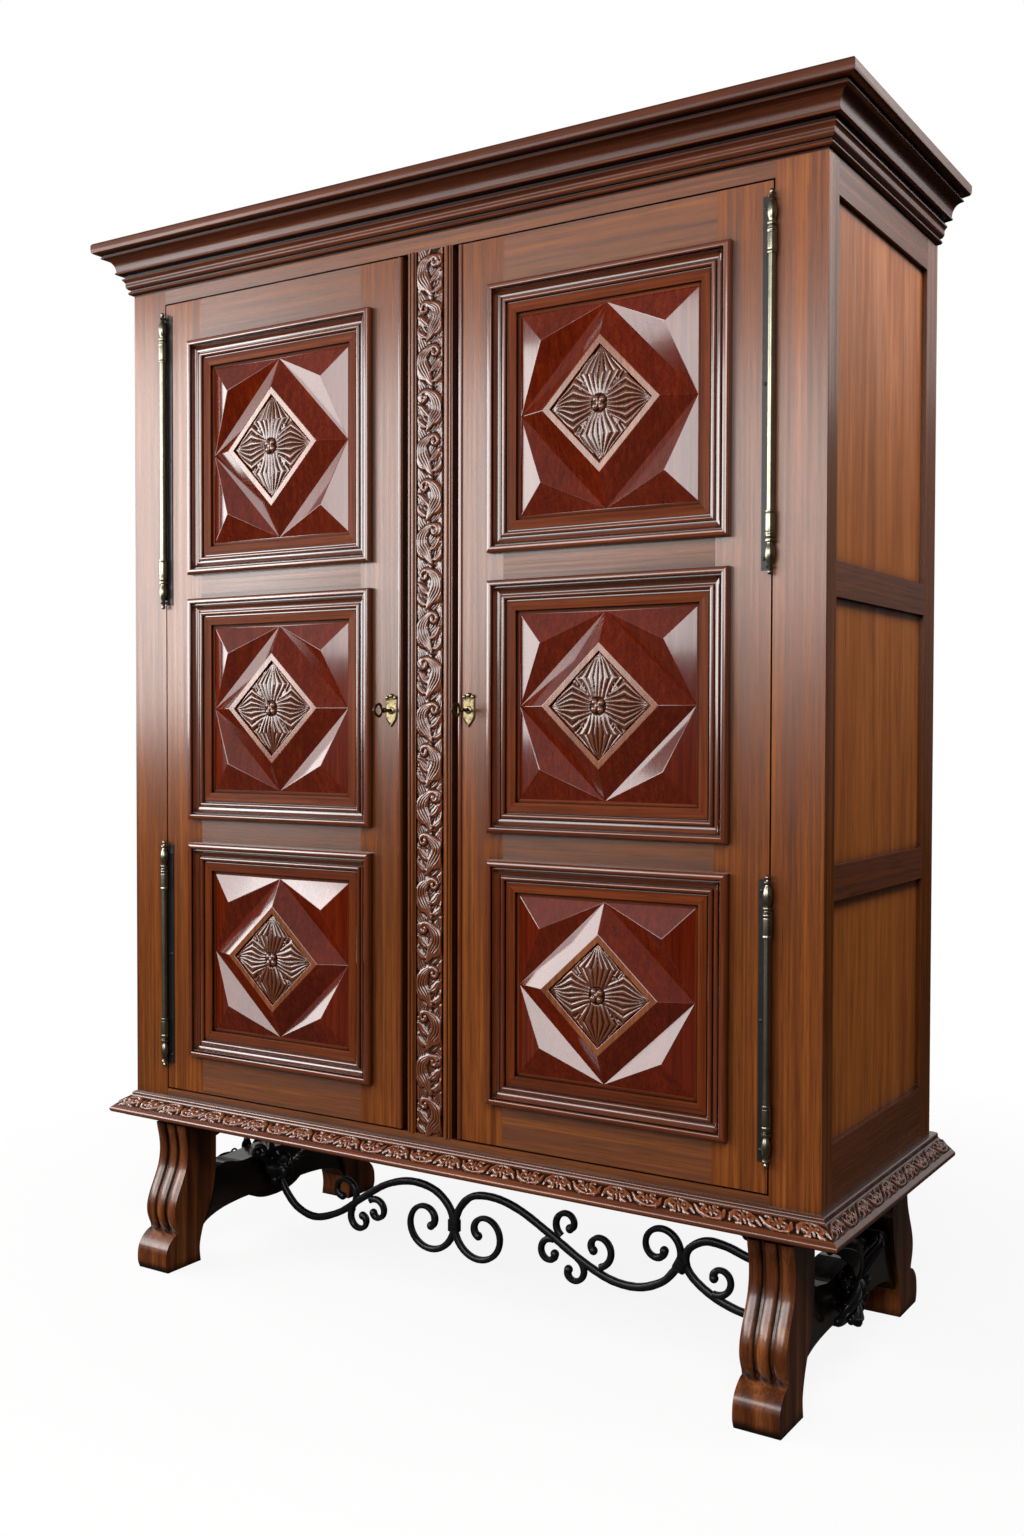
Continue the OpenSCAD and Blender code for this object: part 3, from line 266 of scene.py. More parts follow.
section = (
    [(0, 0), (0, 9.8), (0.2, 11.2), (0.9, 12.8), (2.1, 14.1), (3.8, 14.9), (6.0, 15.2), (8.2, 15.3),
     (9.9, 14.9), (11.1, 13.8), (11.6, 12.2), (11.8, 10.2)]
    + [(12.0, 6.8), (13.4, 6.8), (13.7, 12.0), (15.0, 12.8)]
    + [(24.6 - 9.6 * math.cos(t), 12.8 - 8.4 * math.sin(t)) for t in np.radians(np.linspace(12, 90, 9))]
    + [(24.9, 2.2), (26.2, 2.2)]
    + arc(30.9, 3.0, 4.6, 4.5, 176, 4, 10)
    + [(35.9, 0.6), (37.4, 0.6), (MARGIN, 3.0), (53.2, 2.0)]
    + arc(53.6, 0.6, 1.2, 1.3, 80, 0, 3)
    + [(54.8, -3.3), (61.0, -3.3), (61.0, -4.0), (28.0, -4.0), (28.0, 0.0)]
)
russet = [(0.06, 0.011, 0.003), (0.13, 0.027, 0.007), (0.22, 0.053, 0.015)]
# The moulding woods get painted shade in their quirks and hollows.
bead_finish_and_shade = dict(gloss=0.18, coat=1.0, contrast=0.7, across=0.0, shade_reach=0.010, shade_depth=0.9)
margin_finish_and_shade = dict(gloss=0.36, contrast=0.7, shade_reach=0.010, shade_depth=0.9, shine=0.06)
moulding_up = wood("moulding_wood_up", "z", russet, **bead_finish_and_shade)
moulding_woods = [
    moulding_up, wood("moulding_wood_across", "x", russet, **bead_finish_and_shade),
    wood("margin_wood_up", "z", russet, **margin_finish_and_shade),
    wood("margin_wood_across", "x", russet, **margin_finish_and_shade),
]
dress("door_mouldings", moulding_up)
for side, sign in SIDES.items():
    solid = bmesh.new()
    for middle, height in PANELS:
        for k in range(4):
            half, reach = (height / 2, PANEL_W / 2) if k % 2 == 0 else (PANEL_W / 2, height / 2)
            length = skin([[(end * (reach - u - MITRE_GAP), FACE - h, u - half) for u, h in section]
                           for end in (-1, 1)])
            for face in length.faces:
                margin = face.calc_center_median().z + half >= MARGIN
                face.material_index = (k + 1) % 2 + 2 * margin
            length.transform(Matrix.Diagonal((sign, 1, 1, 1)) @ Matrix.Translation((PANEL_X, 0, middle))
                             @ Matrix.Rotation(math.radians(-90 * k), 4, "Y"))
            join(solid, length)
    piece(f"{side}_panel_mouldings", solid, moulding_woods, f"{side}_door",
          [f"{side}_door_mouldings"])

# Faceted panels: red-stained diamond-point panels, polished to a gloss: a pyramid in each corner
# and a lozenge between the middles of the sides, all with finely rounded arrises, and a pocket
# with upright walls in the flat, paler top of the lozenge.
FIELD_W = 339.0
MOULDINGS_IN = 122.0
GROUND, POCKET = 4.0, 18.0
PEAK_IN, PEAK_H = 52, 20
BROW, LIP, LOZENGE_H = 112, 97, 24
HOUSED, TONGUE = 28, 9.0
red = [(0.053, 0.004, 0.001), (0.110, 0.010, 0.002), (0.185, 0.026, 0.003)]
honey = [(0.12, 0.033, 0.011), (0.21, 0.064, 0.023), (0.31, 0.110, 0.045)]
panel_red = wood("panel_wood", "z", red, gloss=0.09, coat=0.2, contrast=0.45, across=0.0, shade_reach=0.0,
                 shine=0.62)
panel_rim = wood("panel_rim_wood", "z", honey, gloss=0.2, coat=0.4, contrast=0.6, across=0.0, shade_reach=0.0)
dress("door_panels", panel_red)
for side, sign in SIDES.items():
    solid = bmesh.new()
    for middle, height in PANELS:
        w, h = FIELD_W / 2, (height - MOULDINGS_IN) / 2

        def at(x, z, rise):
            return solid.verts.new((sign * (PANEL_X + x), FACE + GROUND - rise, middle + z))

        ends = [(-w, -h), (w, -h), (w, h), (-w, h)]
        mids = [(0, -h), (w, 0), (0, h), (-w, 0)]
        corner = [at(x, z, 0) for x, z in ends]
        side_mid = [at(x, z, 0) for x, z in mids]
        peak = [at(x - math.copysign(PEAK_IN, x), z - math.copysign(PEAK_IN, z), PEAK_H) for x, z in ends]
        brow = [at(x * BROW / w, z * BROW / w, LOZENGE_H) for x, z in mids]
        lip = [at(x * LIP / w, z * LIP / w, LOZENGE_H) for x, z in mids]
        well = [at(x * LIP / w, z * LIP / w, POCKET) for x, z in mids]
        solid.faces.new(well)
        for i in range(4):
            j, before = (i + 1) % 4, (i + 3) % 4
            solid.faces.new((corner[i], peak[i], side_mid[i]))
            solid.faces.new((side_mid[i], peak[i], side_mid[before]))
            solid.faces.new((side_mid[before], peak[i], corner[i]))
            solid.faces.new((side_mid[i], brow[i], brow[j], side_mid[j]))
            solid.faces.new((brow[i], lip[i], lip[j], brow[j])).material_index = 1
            solid.faces.new((lip[i], well[i], well[j], lip[j]))
        base = [at(x, z, -1) for x, z in ends]
        solid.faces.new(base)
        ring = [vert for pair in zip(corner, side_mid) for vert in pair]
        for i in range(4):
            solid.faces.new((base[i], base[(i + 1) % 4], ring[(2 * i + 2) % 8], ring[2 * i + 1], ring[2 * i]))
        for grow, y0, y1 in ((0.0, 4.0, 22.0), (TONGUE, 12.0, 22.0)):
            size = (PANEL_W - 2 * HOUSED + 2 * grow, y1 - y0, height - 2 * HOUSED + 2 * grow)
            centre = (sign * PANEL_X, FACE + (y0 + y1) / 2, middle)
            bmesh.ops.create_cube(solid, size=1.0, matrix=Matrix.LocRotScale(centre, None, size))
    bmesh.ops.recalc_face_normals(solid, faces=solid.faces)
    arrises = [
        e for e in solid.edges
        if len(e.link_faces) == 2 and e.is_convex and 0.12 < e.calc_face_angle(0.0) < 1.7
        and min(v.co.y for v in e.verts) < FACE - 2
    ]
    bmesh.ops.bevel(
        solid, geom=arrises, offset=0.9, offset_type="OFFSET", segments=2, profile=0.5,
        affect="EDGES", material=-1, clamp_overlap=True,
    )
    piece(f"{side}_faceted_panels", solid, [panel_red, panel_rim], f"{side}_door",
          [f"{side}_door_panels"], sharp=0.0)


# Rosettes: a leaf rosette in the pocket of each lozenge, cut with gouges in a chestnut-stained
# board: four fluted petals that swell in the middle, curled leaf tips between them and a button
# of four knobs. A grid of heights keeps the highest stroke at each place.
def smooth_line(knots, step):
    knots = np.asarray(knots, float)
    line = []
    for i in range(len(knots) - 1):
        a, b = knots[max(i - 1, 0)], knots[i]
        c, d = knots[i + 1], knots[min(i + 2, len(knots) - 1)]
        for t in np.linspace(0, 1, max(2, int(np.linalg.norm(c - b) / step)), endpoint=False):
            line.append(0.5 * (2 * b + (c - a) * t + (2 * a - 5 * b + 4 * c - d) * t**2
                               + (3 * b - a - 3 * c + d) * t**3))
    return np.array(line + [knots[-1]])


def scroll(start, heading, radius, turn, steps, tight=0.25):
    """Points of a curl that leaves start along heading and winds in by turn degrees."""
    side = 1 if turn > 0 else -1
    centre = np.array(start) + radius * side * np.array([-math.sin(heading), math.cos(heading)])
    out = []
    for t in np.linspace(0, 1, steps + 1):
        a = heading - side * math.pi / 2 + math.radians(turn) * t
        out.append(centre + radius * (1 - (1 - tight) * t**0.8) * np.array([math.cos(a), math.sin(a)]))
    return out


def carve(field, origin, step, knots, widths, height, grooves=0, groove_depth=0.7):
    """Cuts one curved blade with a swelling width, and with grooves along it."""
    line = smooth_line(knots, step * 0.8)
    share = np.linspace(0, 1, len(line))
    half = np.interp(share, np.linspace(0, 1, len(widths)), widths)
    along = np.gradient(line, axis=0)
    along /= np.linalg.norm(along, axis=1)[:, None] + 1e-9
    reach = half.max() * 1.2
    low = np.floor((line.min(0) - reach - origin) / step).astype(int).clip(0)
    high = np.ceil((line.max(0) + reach - origin) / step).astype(int)
    high = np.minimum(high, np.array(field.shape) - 1)
    if (high <= low).any():
        return
    gx, gz = np.meshgrid(np.arange(low[0], high[0] + 1), np.arange(low[1], high[1] + 1), indexing="ij")
    spots = np.stack([gx, gz], -1).reshape(-1, 2) * step + origin
    best = np.full(len(spots), 1e9)
    pick = np.zeros(len(spots), int)
    for chunk in range(0, len(line), 64):
        gap = np.linalg.norm(spots[:, None] - line[None, chunk:chunk + 64], axis=2)
        near = gap.argmin(1)
        value = gap[np.arange(len(spots)), near]
        closer = value < best
        best[closer] = value[closer]
        pick[closer] = near[closer] + chunk
    delta = spots - line[pick]
    side = along[pick, 0] * delta[:, 1] - along[pick, 1] * delta[:, 0]
    q = np.where(side < 0, -1, 1) * best / half[pick]
    body = np.sqrt(np.clip(1 - np.abs(q) ** 2.6, 0, 1))
    value = height * (0.45 + 0.55 * body) * (np.abs(q) < 1)
    if grooves:
        wave = 0.5 - 0.5 * np.cos(np.pi * (grooves + 1) * (q + 1))
        value -= groove_depth * wave * (np.abs(q) < 0.86) * body
    block = value.reshape(gx.shape)
    part = field[low[0]:high[0] + 1, low[1]:high[1] + 1]
    np.maximum(part, block, out=part)


def blur(field):
    wide = np.pad(field, 1, mode="edge")
    flat = (wide[:-2] + 2 * wide[1:-1] + wide[2:]) / 4
    return (flat[:, :-2] + 2 * flat[:, 1:-1] + flat[:, 2:]) / 4


def relief(spots, field):
    """A carved sheet with a paint mask: above 0 in grooves and on the ground for painted shade, below 0 on
    ridges for wear and painted highlight.
    """
    wide = field
    for _ in range(9):
        wide = blur(wide)
    cut = np.clip((wide - field) * 1.3 + np.clip(0.9 - field * 0.9, 0, 1), -1, 1)
    form = sheet(spots)
    depth = form.verts.layers.float.new("relief")
    for vert, value in zip(form.verts, cut.reshape(-1)):
        vert[depth] = value
    return form


STEP = 0.9
LOZENGE_W, BUTTON_R, KNOB_R = 96.4, 15.0, 6.4
chestnut = [(0.05, 0.010, 0.004), (0.10, 0.024, 0.008), (0.17, 0.049, 0.018)]
# Carved wood: near-black painted shade in grooves, on the ground and in hollows, and lighter ridges that are
# partly wear and partly painted highlight.
carved_finish_and_shade = dict(gloss=0.22, coat=0.8, contrast=0.7, across=0.0, shade_reach=0.016, shade_depth=1.0)
carved = wood("carved_wood", "z", chestnut, **carved_finish_and_shade)
dress(("base_left", "base_right", "centre_carving", "rosettes"), carved)
for side, sign in SIDES.items():
    solid = bmesh.new()
    for number, (middle, height) in enumerate(PANELS):
        a, b = LOZENGE_W, LOZENGE_W * (height - MOULDINGS_IN) / FIELD_W
        n, m = int(a / STEP), int(b / STEP)
        origin = np.array([-n * STEP, -m * STEP])
        field = np.full((2 * n + 1, 2 * m + 1), 0.3)
        gx, gz = np.meshgrid(np.arange(-n, n + 1) * STEP, np.arange(-m, m + 1) * STEP, indexing="ij")
        for corner in ((a, b), (-a, b), (-a, -b), (a, -b)):
            edge = np.linalg.norm(corner) * 0.5
            away = np.array(corner) * 0.5 / edge
            leaf = [away * 12, away * edge * 0.55, away * (edge - 2)]
            carve(field, origin, STEP, leaf, [3, 8, 12, 7], 4.6, 4, 1.6)
            for turn in (-1, 1):
                heading = math.atan2(away[1], away[0]) + turn * 0.9
                curl = scroll(away * edge * 0.55, heading, 8.0, -turn * 330, 16)
                carve(field, origin, STEP, curl, [3.0, 2.8, 2.2, 2.8], 6.0)
        warp = 0.02 * np.sin(gx / 11.0 + number * 2 + sign) * np.cos(gz / 13.0)
        for k in range(4):
            along, aside = (gx / a, gz / b) if k % 2 == 0 else (gz / b, gx / a)
            along = along if k < 2 else -along
            width = np.minimum(0.15 + 0.72 * along.clip(0) ** 1.25, 0.96 * (1.0 - along).clip(0.001))
            t = (aside + warp) / width
            swell = np.sin(math.pi * (0.16 + 0.84 * along.clip(0, 1)) ** 0.85)
            flutes = math.pi * 3.5 * np.sign(t) * np.abs(t) ** 0.9 + math.pi / 2 * (k % 2)
            sunk = 3.4 * (1 - np.abs(np.cos(flutes)) ** 0.5) * np.minimum(1.0, 3 * along.clip(0))
            petal = 2.6 + 6.6 * swell * (1 - 0.5 * t**2) - sunk
            field = np.where((np.abs(t) < 1) & (along > 0.04), np.maximum(field, petal), field)
        radius = np.hypot(gx, gz)
        dome = 5.0 + 3.0 * np.sqrt(np.clip(1 - (radius / BUTTON_R) ** 2, 0, 1))
        field = np.where(radius < BUTTON_R, dome, field)
        turns = np.radians(90 * np.arange(4) + 40)
        for x, z in [*zip(8.2 * np.cos(turns), 8.2 * np.sin(turns)), (0, 0)]:
            gap = np.hypot(gx - x, gz - z)
            knob = 7.0 + 5.4 * np.sqrt(np.clip(1 - (gap / KNOB_R) ** 2, 0, 1))
            field = np.where(gap < KNOB_R, np.maximum(field, knob), field)
        inside = np.abs(gx) / a + np.abs(gz) / b
        field = np.where(inside > 0.985, 0.2, blur(field))
        grid = [sign * (PANEL_X + gx), FACE + GROUND - POCKET - field, middle + gz]
        rosette = relief(np.stack(grid, -1), field)
        kept = (inside[:-1, :-1] < 1.0).reshape(-1)
        outside = [face for face, keep in zip(rosette.faces, kept) if not keep]
        bmesh.ops.delete(rosette, geom=outside, context="FACES")
        join(solid, rosette)
    piece(f"{side}_carved_rosettes", solid, [carved], f"{side}_door",
          [f"{side}_rosettes"], sharp=70.0, facing=(0, -1, 0))


# Carved strip: one long chestnut-stained board, let into the channel of the centre post: a vine
# that swings from side to side, with a long grooved leaf in each bend that curls over at its
# end, small side leaves and a ring here and there.
def jitter(value):
    return value + rng.normal(0, 1.0)


STRIP_Z0, STRIP_Z1, STRIP_HALF = 366.0, 1969.0, 31.0
STEP = 1.1
origin = np.array([-STRIP_HALF, STRIP_Z0])
field = np.zeros((int(2 * STRIP_HALF / STEP) + 1, int((STRIP_Z1 - STRIP_Z0) / STEP) + 1))
bends = 20
pitch = (STRIP_Z1 - STRIP_Z0) / bends
vine = [(9.0 * math.sin(math.pi * i / 6) + rng.normal(0, 0.6), STRIP_Z0 + i * pitch / 6)
        for i in range(bends * 6 + 1)]
carve(field, origin, STEP, vine, [3.2] * 2, 4.0, 1, 0.6)
for i in range(bends):
    s = 1 if i % 2 == 0 else -1
    z = STRIP_Z0 + i * pitch
    for turn, lift in ((1, 0), (-1, 14), (1, 40), (-1, 52)):
        back_leaf = [(-turn * 2, z + lift - 6), (turn * 10, z + lift + 6),
                     (turn * jitter(20), z + lift + 24), (turn * 25, z + lift + 40)]
        carve(field, origin, STEP, back_leaf, [6, 13, 12, 2], 2.9, 4, 2.2)
    leaf = [(-s * 6, z - 4), (s * 6, z + 16), (s * jitter(17), z + jitter(34)),
            (s * jitter(13), z + jitter(52)), (s * jitter(-2), z + jitter(64))]
    heading = math.atan2(14.0, -s * 13.0)
    leaf += scroll(leaf[-1], heading, 11.5, s * 330, 16)
    carve(field, origin, STEP, leaf, [2, 8, 13.5, 14.5, 12.0, 8.0, 5.0, 3.6, 4.4], 7.2, 4, 2.6)
    sprig = [(s * 2, z + 8), (s * 16, z + 14), (s * 25, z + jitter(27)), (s * 27, z + 42)]
    carve(field, origin, STEP, sprig, [2, 8.0, 7.0, 0.8], 5.6, 3, 2.0)
    sprig = [(-s * 1, z + 22), (-s * 12, z + 30), (-s * 20, z + jitter(40)), (-s * 27, z + 44)]
    carve(field, origin, STEP, sprig, [2, 8.0, 6.5, 0.8], 5.2, 2, 2.0)
    sprig = [(-s * 4, z + 4), (-s * 14, z + 6), (-s * 24, z + jitter(15)), (-s * 25, z + 26)]
    carve(field, origin, STEP, sprig, [1.2, 6.4, 5.0, 0.8], 4.8, 2, 1.8)
    if i % 3 == 1:
        turns = np.linspace(0, 2 * math.pi, 17)
        ring = [(-s * 15 + 9.5 * math.cos(a), z + 58 + 9.5 * math.sin(a)) for a in turns]
        carve(field, origin, STEP, ring, [2.6] * 2, 4.8)
        carve(field, origin, STEP, [(-s * 15, z + 57.5), (-s * 15, z + 58.5)], [4.2, 4.2], 4.6)
field = blur(field)
field += 0.18 * np.abs(rng.normal(size=field.shape)) * (field < 0.6)
width = np.linspace(-STRIP_HALF, STRIP_HALF, field.shape[0])
gx, gz = np.meshgrid(width, np.linspace(STRIP_Z0, STRIP_Z1, field.shape[1]), indexing="ij")
field = np.where(np.abs(gx) > STRIP_HALF - 3.8, -2.4, field)
strip = relief(np.stack([gx, FACE + 1.4 - field, gz], -1), field)
piece("vine_strip", strip, [carved], "case", ["centre_carving"], sharp=70.0,
      facing=(0, -1, 0))

# Beads: thin rounds of wood beside the strip, planed and glued on: two with a quirk between them
# on the face of the post, and one on the edge of each door.
post_beads = [(31.6, -2.0), (31.6, 0.2), (33.6, 0.2)] + arc(37.4, 0.4, 3.6, 3.8, 178, 2, 8)
post_beads += [(41.4, 0.2), (42.2, 0.2)] + arc(44.6, 0.3, 2.3, 2.7, 178, 2, 7) + [(47.4, 0.1), (47.4, -2.0)]
door_bead = [(62.6, -1.0), (62.6, 0.4)] + arc(67.0, 0.4, 4.3, 3.2, 178, 2, 9) + [(71.4, 0.1), (71.4, -1.0)]
DOOR_Z0, DOOR_Z1 = 369.5, 1965.5
for side, sign in SIDES.items():
    beads = skin([[(sign * x, FACE - h, z) for x, h in post_beads] for z in (STRIP_Z0, STRIP_Z1)])
    piece(f"{side}_strip_beads", beads, [frame_up], "case")
    bead = skin([[(sign * x, FACE - h, z) for x, h in door_bead] for z in (DOOR_Z0, DOOR_Z1)])
    piece(f"{side}_edge_bead", bead, [moulding_up], f"{side}_door")


# Stand frame: a nutmeg-stained moulding along the front and along each side, mitred at the
# corners and fixed to the stand: a bead on top, a sloping band, a rounded nose and small steps.
def mitred(run, line, lift, back_y):
    """The front length or one of the two returns of a moulding, from its section."""
    if run == "front":
        return skin([[(end * (CASE_X + out), FACE - out, lift + up) for out, up in line]
                     for end in (-1, 1)])
    return skin([[(SIDES[run] * (CASE_X + out), back_y if end else FACE - out, lift + up)
                  for out, up in line] for end in (0, 1)])


LEG_H, CASE_X, BASE_BACK = 290.0, 750.0, 295.5
base_line = (
    [(-48, 0), (-31, 0), (-31, 3), (-9, 4), (-9, 9), (16, 10.4), (18, 11.4), (18, 16.6), (27.5, 18.2)]
    + arc(34.6, 24.0, 6.0, 6.0, -105, 70, 10)
    + [(35.6, 31.0), (34.6, 31.4), (33.6, 32.6), (9.6, 49.6), (8.4, 50.8), (8.0, 52.0)]
    + arc(3.4, 55.6, 4.1, 4.0, -20, 110, 8)
    + [(0, 60), (-48, 60)]
)
nutmeg = [(0.075, 0.016, 0.005), (0.15, 0.038, 0.012), (0.25, 0.076, 0.026)]
carved_across = wood("carved_wood_across", "x", nutmeg, **carved_finish_and_shade)
dress("base_front", carved_across)
stand_woods = {"front": carved_across, "left": carved, "right": carved}
for run, finish in stand_woods.items():
    piece(f"base_{run}_moulding", mitred(run, base_line, LEG_H, BASE_BACK), [finish], "case",
          [f"base_{run}"])

# Frieze on the sloping band: facing scrolls with leaves, close together, cut with gouges in the
# stand's mouldings. The carver's ground is bent to the slope, and its ends follow the mitres.
STEP = 1.15
SLOPE = np.array([[33.6, 32.6], [9.6, 49.6]])
SCROLL_W = 58.0
fall = SLOPE[1] - SLOPE[0]
slope_l = float(np.linalg.norm(fall))
slope_out = np.array([fall[1], -fall[0]]) / slope_l


def band_relief(length):
    origin = np.array([0.0, 0.0])
    field = np.zeros((int(length / STEP) + 1, int(slope_l / STEP) + 1))
    count = max(1, round(length / SCROLL_W))
    width = length / count
    middle = slope_l / 2
    for i in range(count):
        x = (i + 0.5) * width
        rise = 1 if i % 2 else -1
        for turn in (-1, 1):
            start = (x + turn * 2, 3 if i % 2 else slope_l - 3)
            heading = math.atan2(rise * 0.5, turn)
            curl = [start, (x + turn * 10, start[1] + rise * 2.0)]
            curl += scroll((x + turn * 13, start[1] + rise * 3.0), heading, 8.4 + rng.normal(0, 0.4),
                           turn * rise * 380, 18)
            carve(field, origin, STEP, curl, [1.8, 3.0, 3.2, 2.8, 2.4, 2.9], 4.4, 1, 1.4)
            leaf = [(x + turn * 15, middle - rise * 9), (x + turn * 21, middle - rise * 2),
                    (x + turn * (width / 2 - 1.5), middle + rise * 8)]
            carve(field, origin, STEP, leaf, [1.6, 4.2, 1.0], 3.8, 2, 1.4)
            leaf = [(x + turn * 6, middle + rise * 2), (x + turn * 9, middle + rise * 9),
                    (x + turn * 17, middle + rise * 11)]
            carve(field, origin, STEP, leaf, [1.8, 3.4, 0.8], 3.6, 1, 1.2)
        bud = [(x, middle - 8), (x, middle), (x, middle + 9)]
        carve(field, origin, STEP, bud, [1.6, 4.6, 1.0], 4.4, 2, 1.5)
    field = blur(field) + 0.12 * np.abs(rng.normal(size=field.shape)) * (field < 0.5)
    field[:, [0, -1]] = -0.6
    return field


for run, finish in stand_woods.items():
    field = band_relief(2 * CASE_X + 40 if run == "front" else BASE_BACK - FACE + 20)
    along = np.linspace(0, 1, field.shape[0])[:, None]
    share = np.linspace(0, 1, field.shape[1])[None, :]
    out = SLOPE[0][0] + fall[0] * share + slope_out[0] * field
    up = LEG_H + SLOPE[0][1] + fall[1] * share + slope_out[1] * field
    if run == "front":
        grid = np.stack([(2 * along - 1) * (CASE_X + out), FACE - out, up], -1)
    else:
        start = FACE - out
        grid = np.stack([SIDES[run] * (CASE_X + out), start + (BASE_BACK - start) * along, up], -1)
    piece(f"base_{run}_carving", relief(grid, field), [finish], "case",
          [f"base_{run}"], sharp=70.0, facing=(0, 0, 1))

# Legs: four S-shaped legs of dark walnut, sawn from thick boards, with a rounded toe block and
# three round reeds with deep grooves down the front. They are housed in two level bearers.
STAND_Y, LEG_X0, LEG_W, TOE, LEG_D = 7.5, 622.0, 80.0, 345.0, 100.0
HEEL = TOE - LEG_D
REED_R, REED_MIDDLES, GROOVE, EDGE_IN = 11.6, (11.6, 40.0, 68.4), -7.5, 3
legs = [(0.045, 0.010, 0.003), (0.13, 0.035, 0.009), (0.27, 0.085, 0.024)]
brown = [(0.045, 0.010, 0.004), (0.095, 0.024, 0.009), (0.15, 0.044, 0.017)]
# The leg wood gets painted shade in the grooves between the reeds and where the legs meet other parts.
leg_wood = wood("leg_wood", "z", legs, gloss=0.24, coat=0.2, contrast=1.2, fine=34.0, shade_reach=0.02, shade_depth=0.8)
dress("_leg", leg_wood)
dress("bearer", wood("bearer_wood", "y", brown), BARE_EDGE)
toe = smooth_line([(94, 0), (99, 12), (100, 24), (98, 42), (91, 56), (78, 68), (64, 75)], 3.0)
shin = smooth_line([(64, 75), (70, 86), (77, 106), (77, 128), (69, 152), (56, 178), (45, 204),
                    (41, 230), (43, 256), (48, 278), (50, 290)], 4.0)
heel = smooth_line([(-46, 290), (-46, 241), (-45, 190), (-39, 149), (-29, 116), (-14, 86), (-3, 58),
                    (3, 29), (0, 0)], 8.0)
front_line = np.concatenate([toe[:-1], shin])
tangent = np.gradient(front_line, axis=0)
outward = np.stack([tangent[:, 1], -tangent[:, 0]], -1) / np.linalg.norm(tangent, axis=1)[:, None]
width = np.linspace(0, LEG_W, 55)
offset = np.minimum.reduce([np.abs(width - c) / REED_R for c in REED_MIDDLES])
reeds = np.where(offset < 1, -4.6 * np.clip(offset, 0, 1) ** 2.4, GROOVE)
edge = np.minimum(width, LEG_W - width)
reeds = np.where(edge < EDGE_IN, np.maximum(reeds, -4.0), reeds)
cut = np.clip((front_line[:, 1] - 74.0) / 7.0, 0, 1) ** 0.5
strip = front_line[:, None, :] + outward[:, None, :] * (cut[:, None] * reeds[None, :])[:, :, None]
n, m = strip.shape[:2]
for side, sign in SIDES.items():
    for depth, mirror in (("front", -1), ("rear", 1)):
        leg = sheet(np.stack([
            np.broadcast_to(sign * (LEG_X0 + width)[None, :], (n, m)),
            STAND_Y + mirror * (HEEL + strip[:, :, 0]), np.clip(strip[:, :, 1], 0, LEG_H),
        ], -1))
        front = list(leg.verts)
        near, far = [[leg.verts.new((sign * x, STAND_Y + mirror * (HEEL + y), z)) for y, z in heel]
                     for x in (LEG_X0, LEG_X0 + LEG_W)]
        leg.faces.new([near[0], far[0]] + front[:(n - 1) * m - 1:-1])
        leg.faces.new([near[-1], far[-1]] + front[m - 1::-1])
        for corners in [front[::m] + near, front[m - 1::m] + far, *zip(near, near[1:], far[1:], far)]:
            leg.faces.new(corners)
        piece(f"{side}_{depth}_reeded_leg", leg, [leg_wood], "case",
              [f"{side}_{depth}_leg"], sharp=42.0)

# Trestle rails: two heavy shaped rails of ebonised wood from front to back, tenoned between the
# legs, with well-rounded edges.
ROUNDED_EDGE = 0.006
ebony = [(0.008, 0.005, 0.004), (0.020, 0.012, 0.010), (0.036, 0.023, 0.018)]
dress("trestle_rail", wood("trestle_wood", "y", ebony, gloss=0.2, coat=0.4, fine=34.0), ROUNDED_EDGE, 4)


# Stretcher: flat black iron bars with rounded edges, forged and scrolled at the anvil, drawn down
# towards the ends of the curls and beaten up into a ball there, and held by collars. The lines
# are points across and up, in the plane of the stand.
def metal(name, tone, rough, metallic, lumps, depth, shade=0.8):
    """Metal with a lumpy skin, darker in its hollows."""
    material = bpy.data.materials.new(name)
    material.use_nodes = True
    tree = material.node_tree
    shader = tree.nodes["Principled BSDF"]
    place = add(tree, "TexCoord").outputs["Object"]
    skinned = add(tree, "TexNoise", {"Vector": place, "Scale": lumps, "Detail": 3.0}).outputs["Fac"]
    colour = ramp(tree, skinned, [(0.3, [c * shade for c in tone]), (0.7, tone)])
    fill(shader, {"Base Color": colour, "Roughness": rough, "Metallic": metallic})
    bump(tree, shader, skinned, 0.4, depth)
    return material


def forge(path, widths, depths, sides=10, corner=0.62, plane=(0.0, 1.0, 0.0)):
    """A rounded bar along a path; plane is the direction of its depth."""
    path = np.asarray(path, float)
    share = np.linspace(0, 1, len(path))
    wide = np.interp(share, np.linspace(0, 1, len(widths)), widths) / 2
    deep = np.interp(share, np.linspace(0, 1, len(depths)), depths) / 2
    run = np.gradient(path, axis=0)
    run /= np.linalg.norm(run, axis=1)[:, None] + 1e-9
    turns = 2 * math.pi * (np.arange(sides) + 0.5) / sides
    flat, tall = [np.copysign(np.abs(c) ** corner, c)[:, None] for c in (np.cos(turns), np.sin(turns))]
    normal = np.asarray(plane, float)
    rings = []
    for spot, ahead, w, d in zip(path, run, wide, deep):
        normal = normal - ahead * (normal @ ahead)
        normal /= np.linalg.norm(normal) + 1e-9
        rings.append(spot + w * flat * np.cross(ahead, normal) + d * tall * normal)
    return skin(rings)


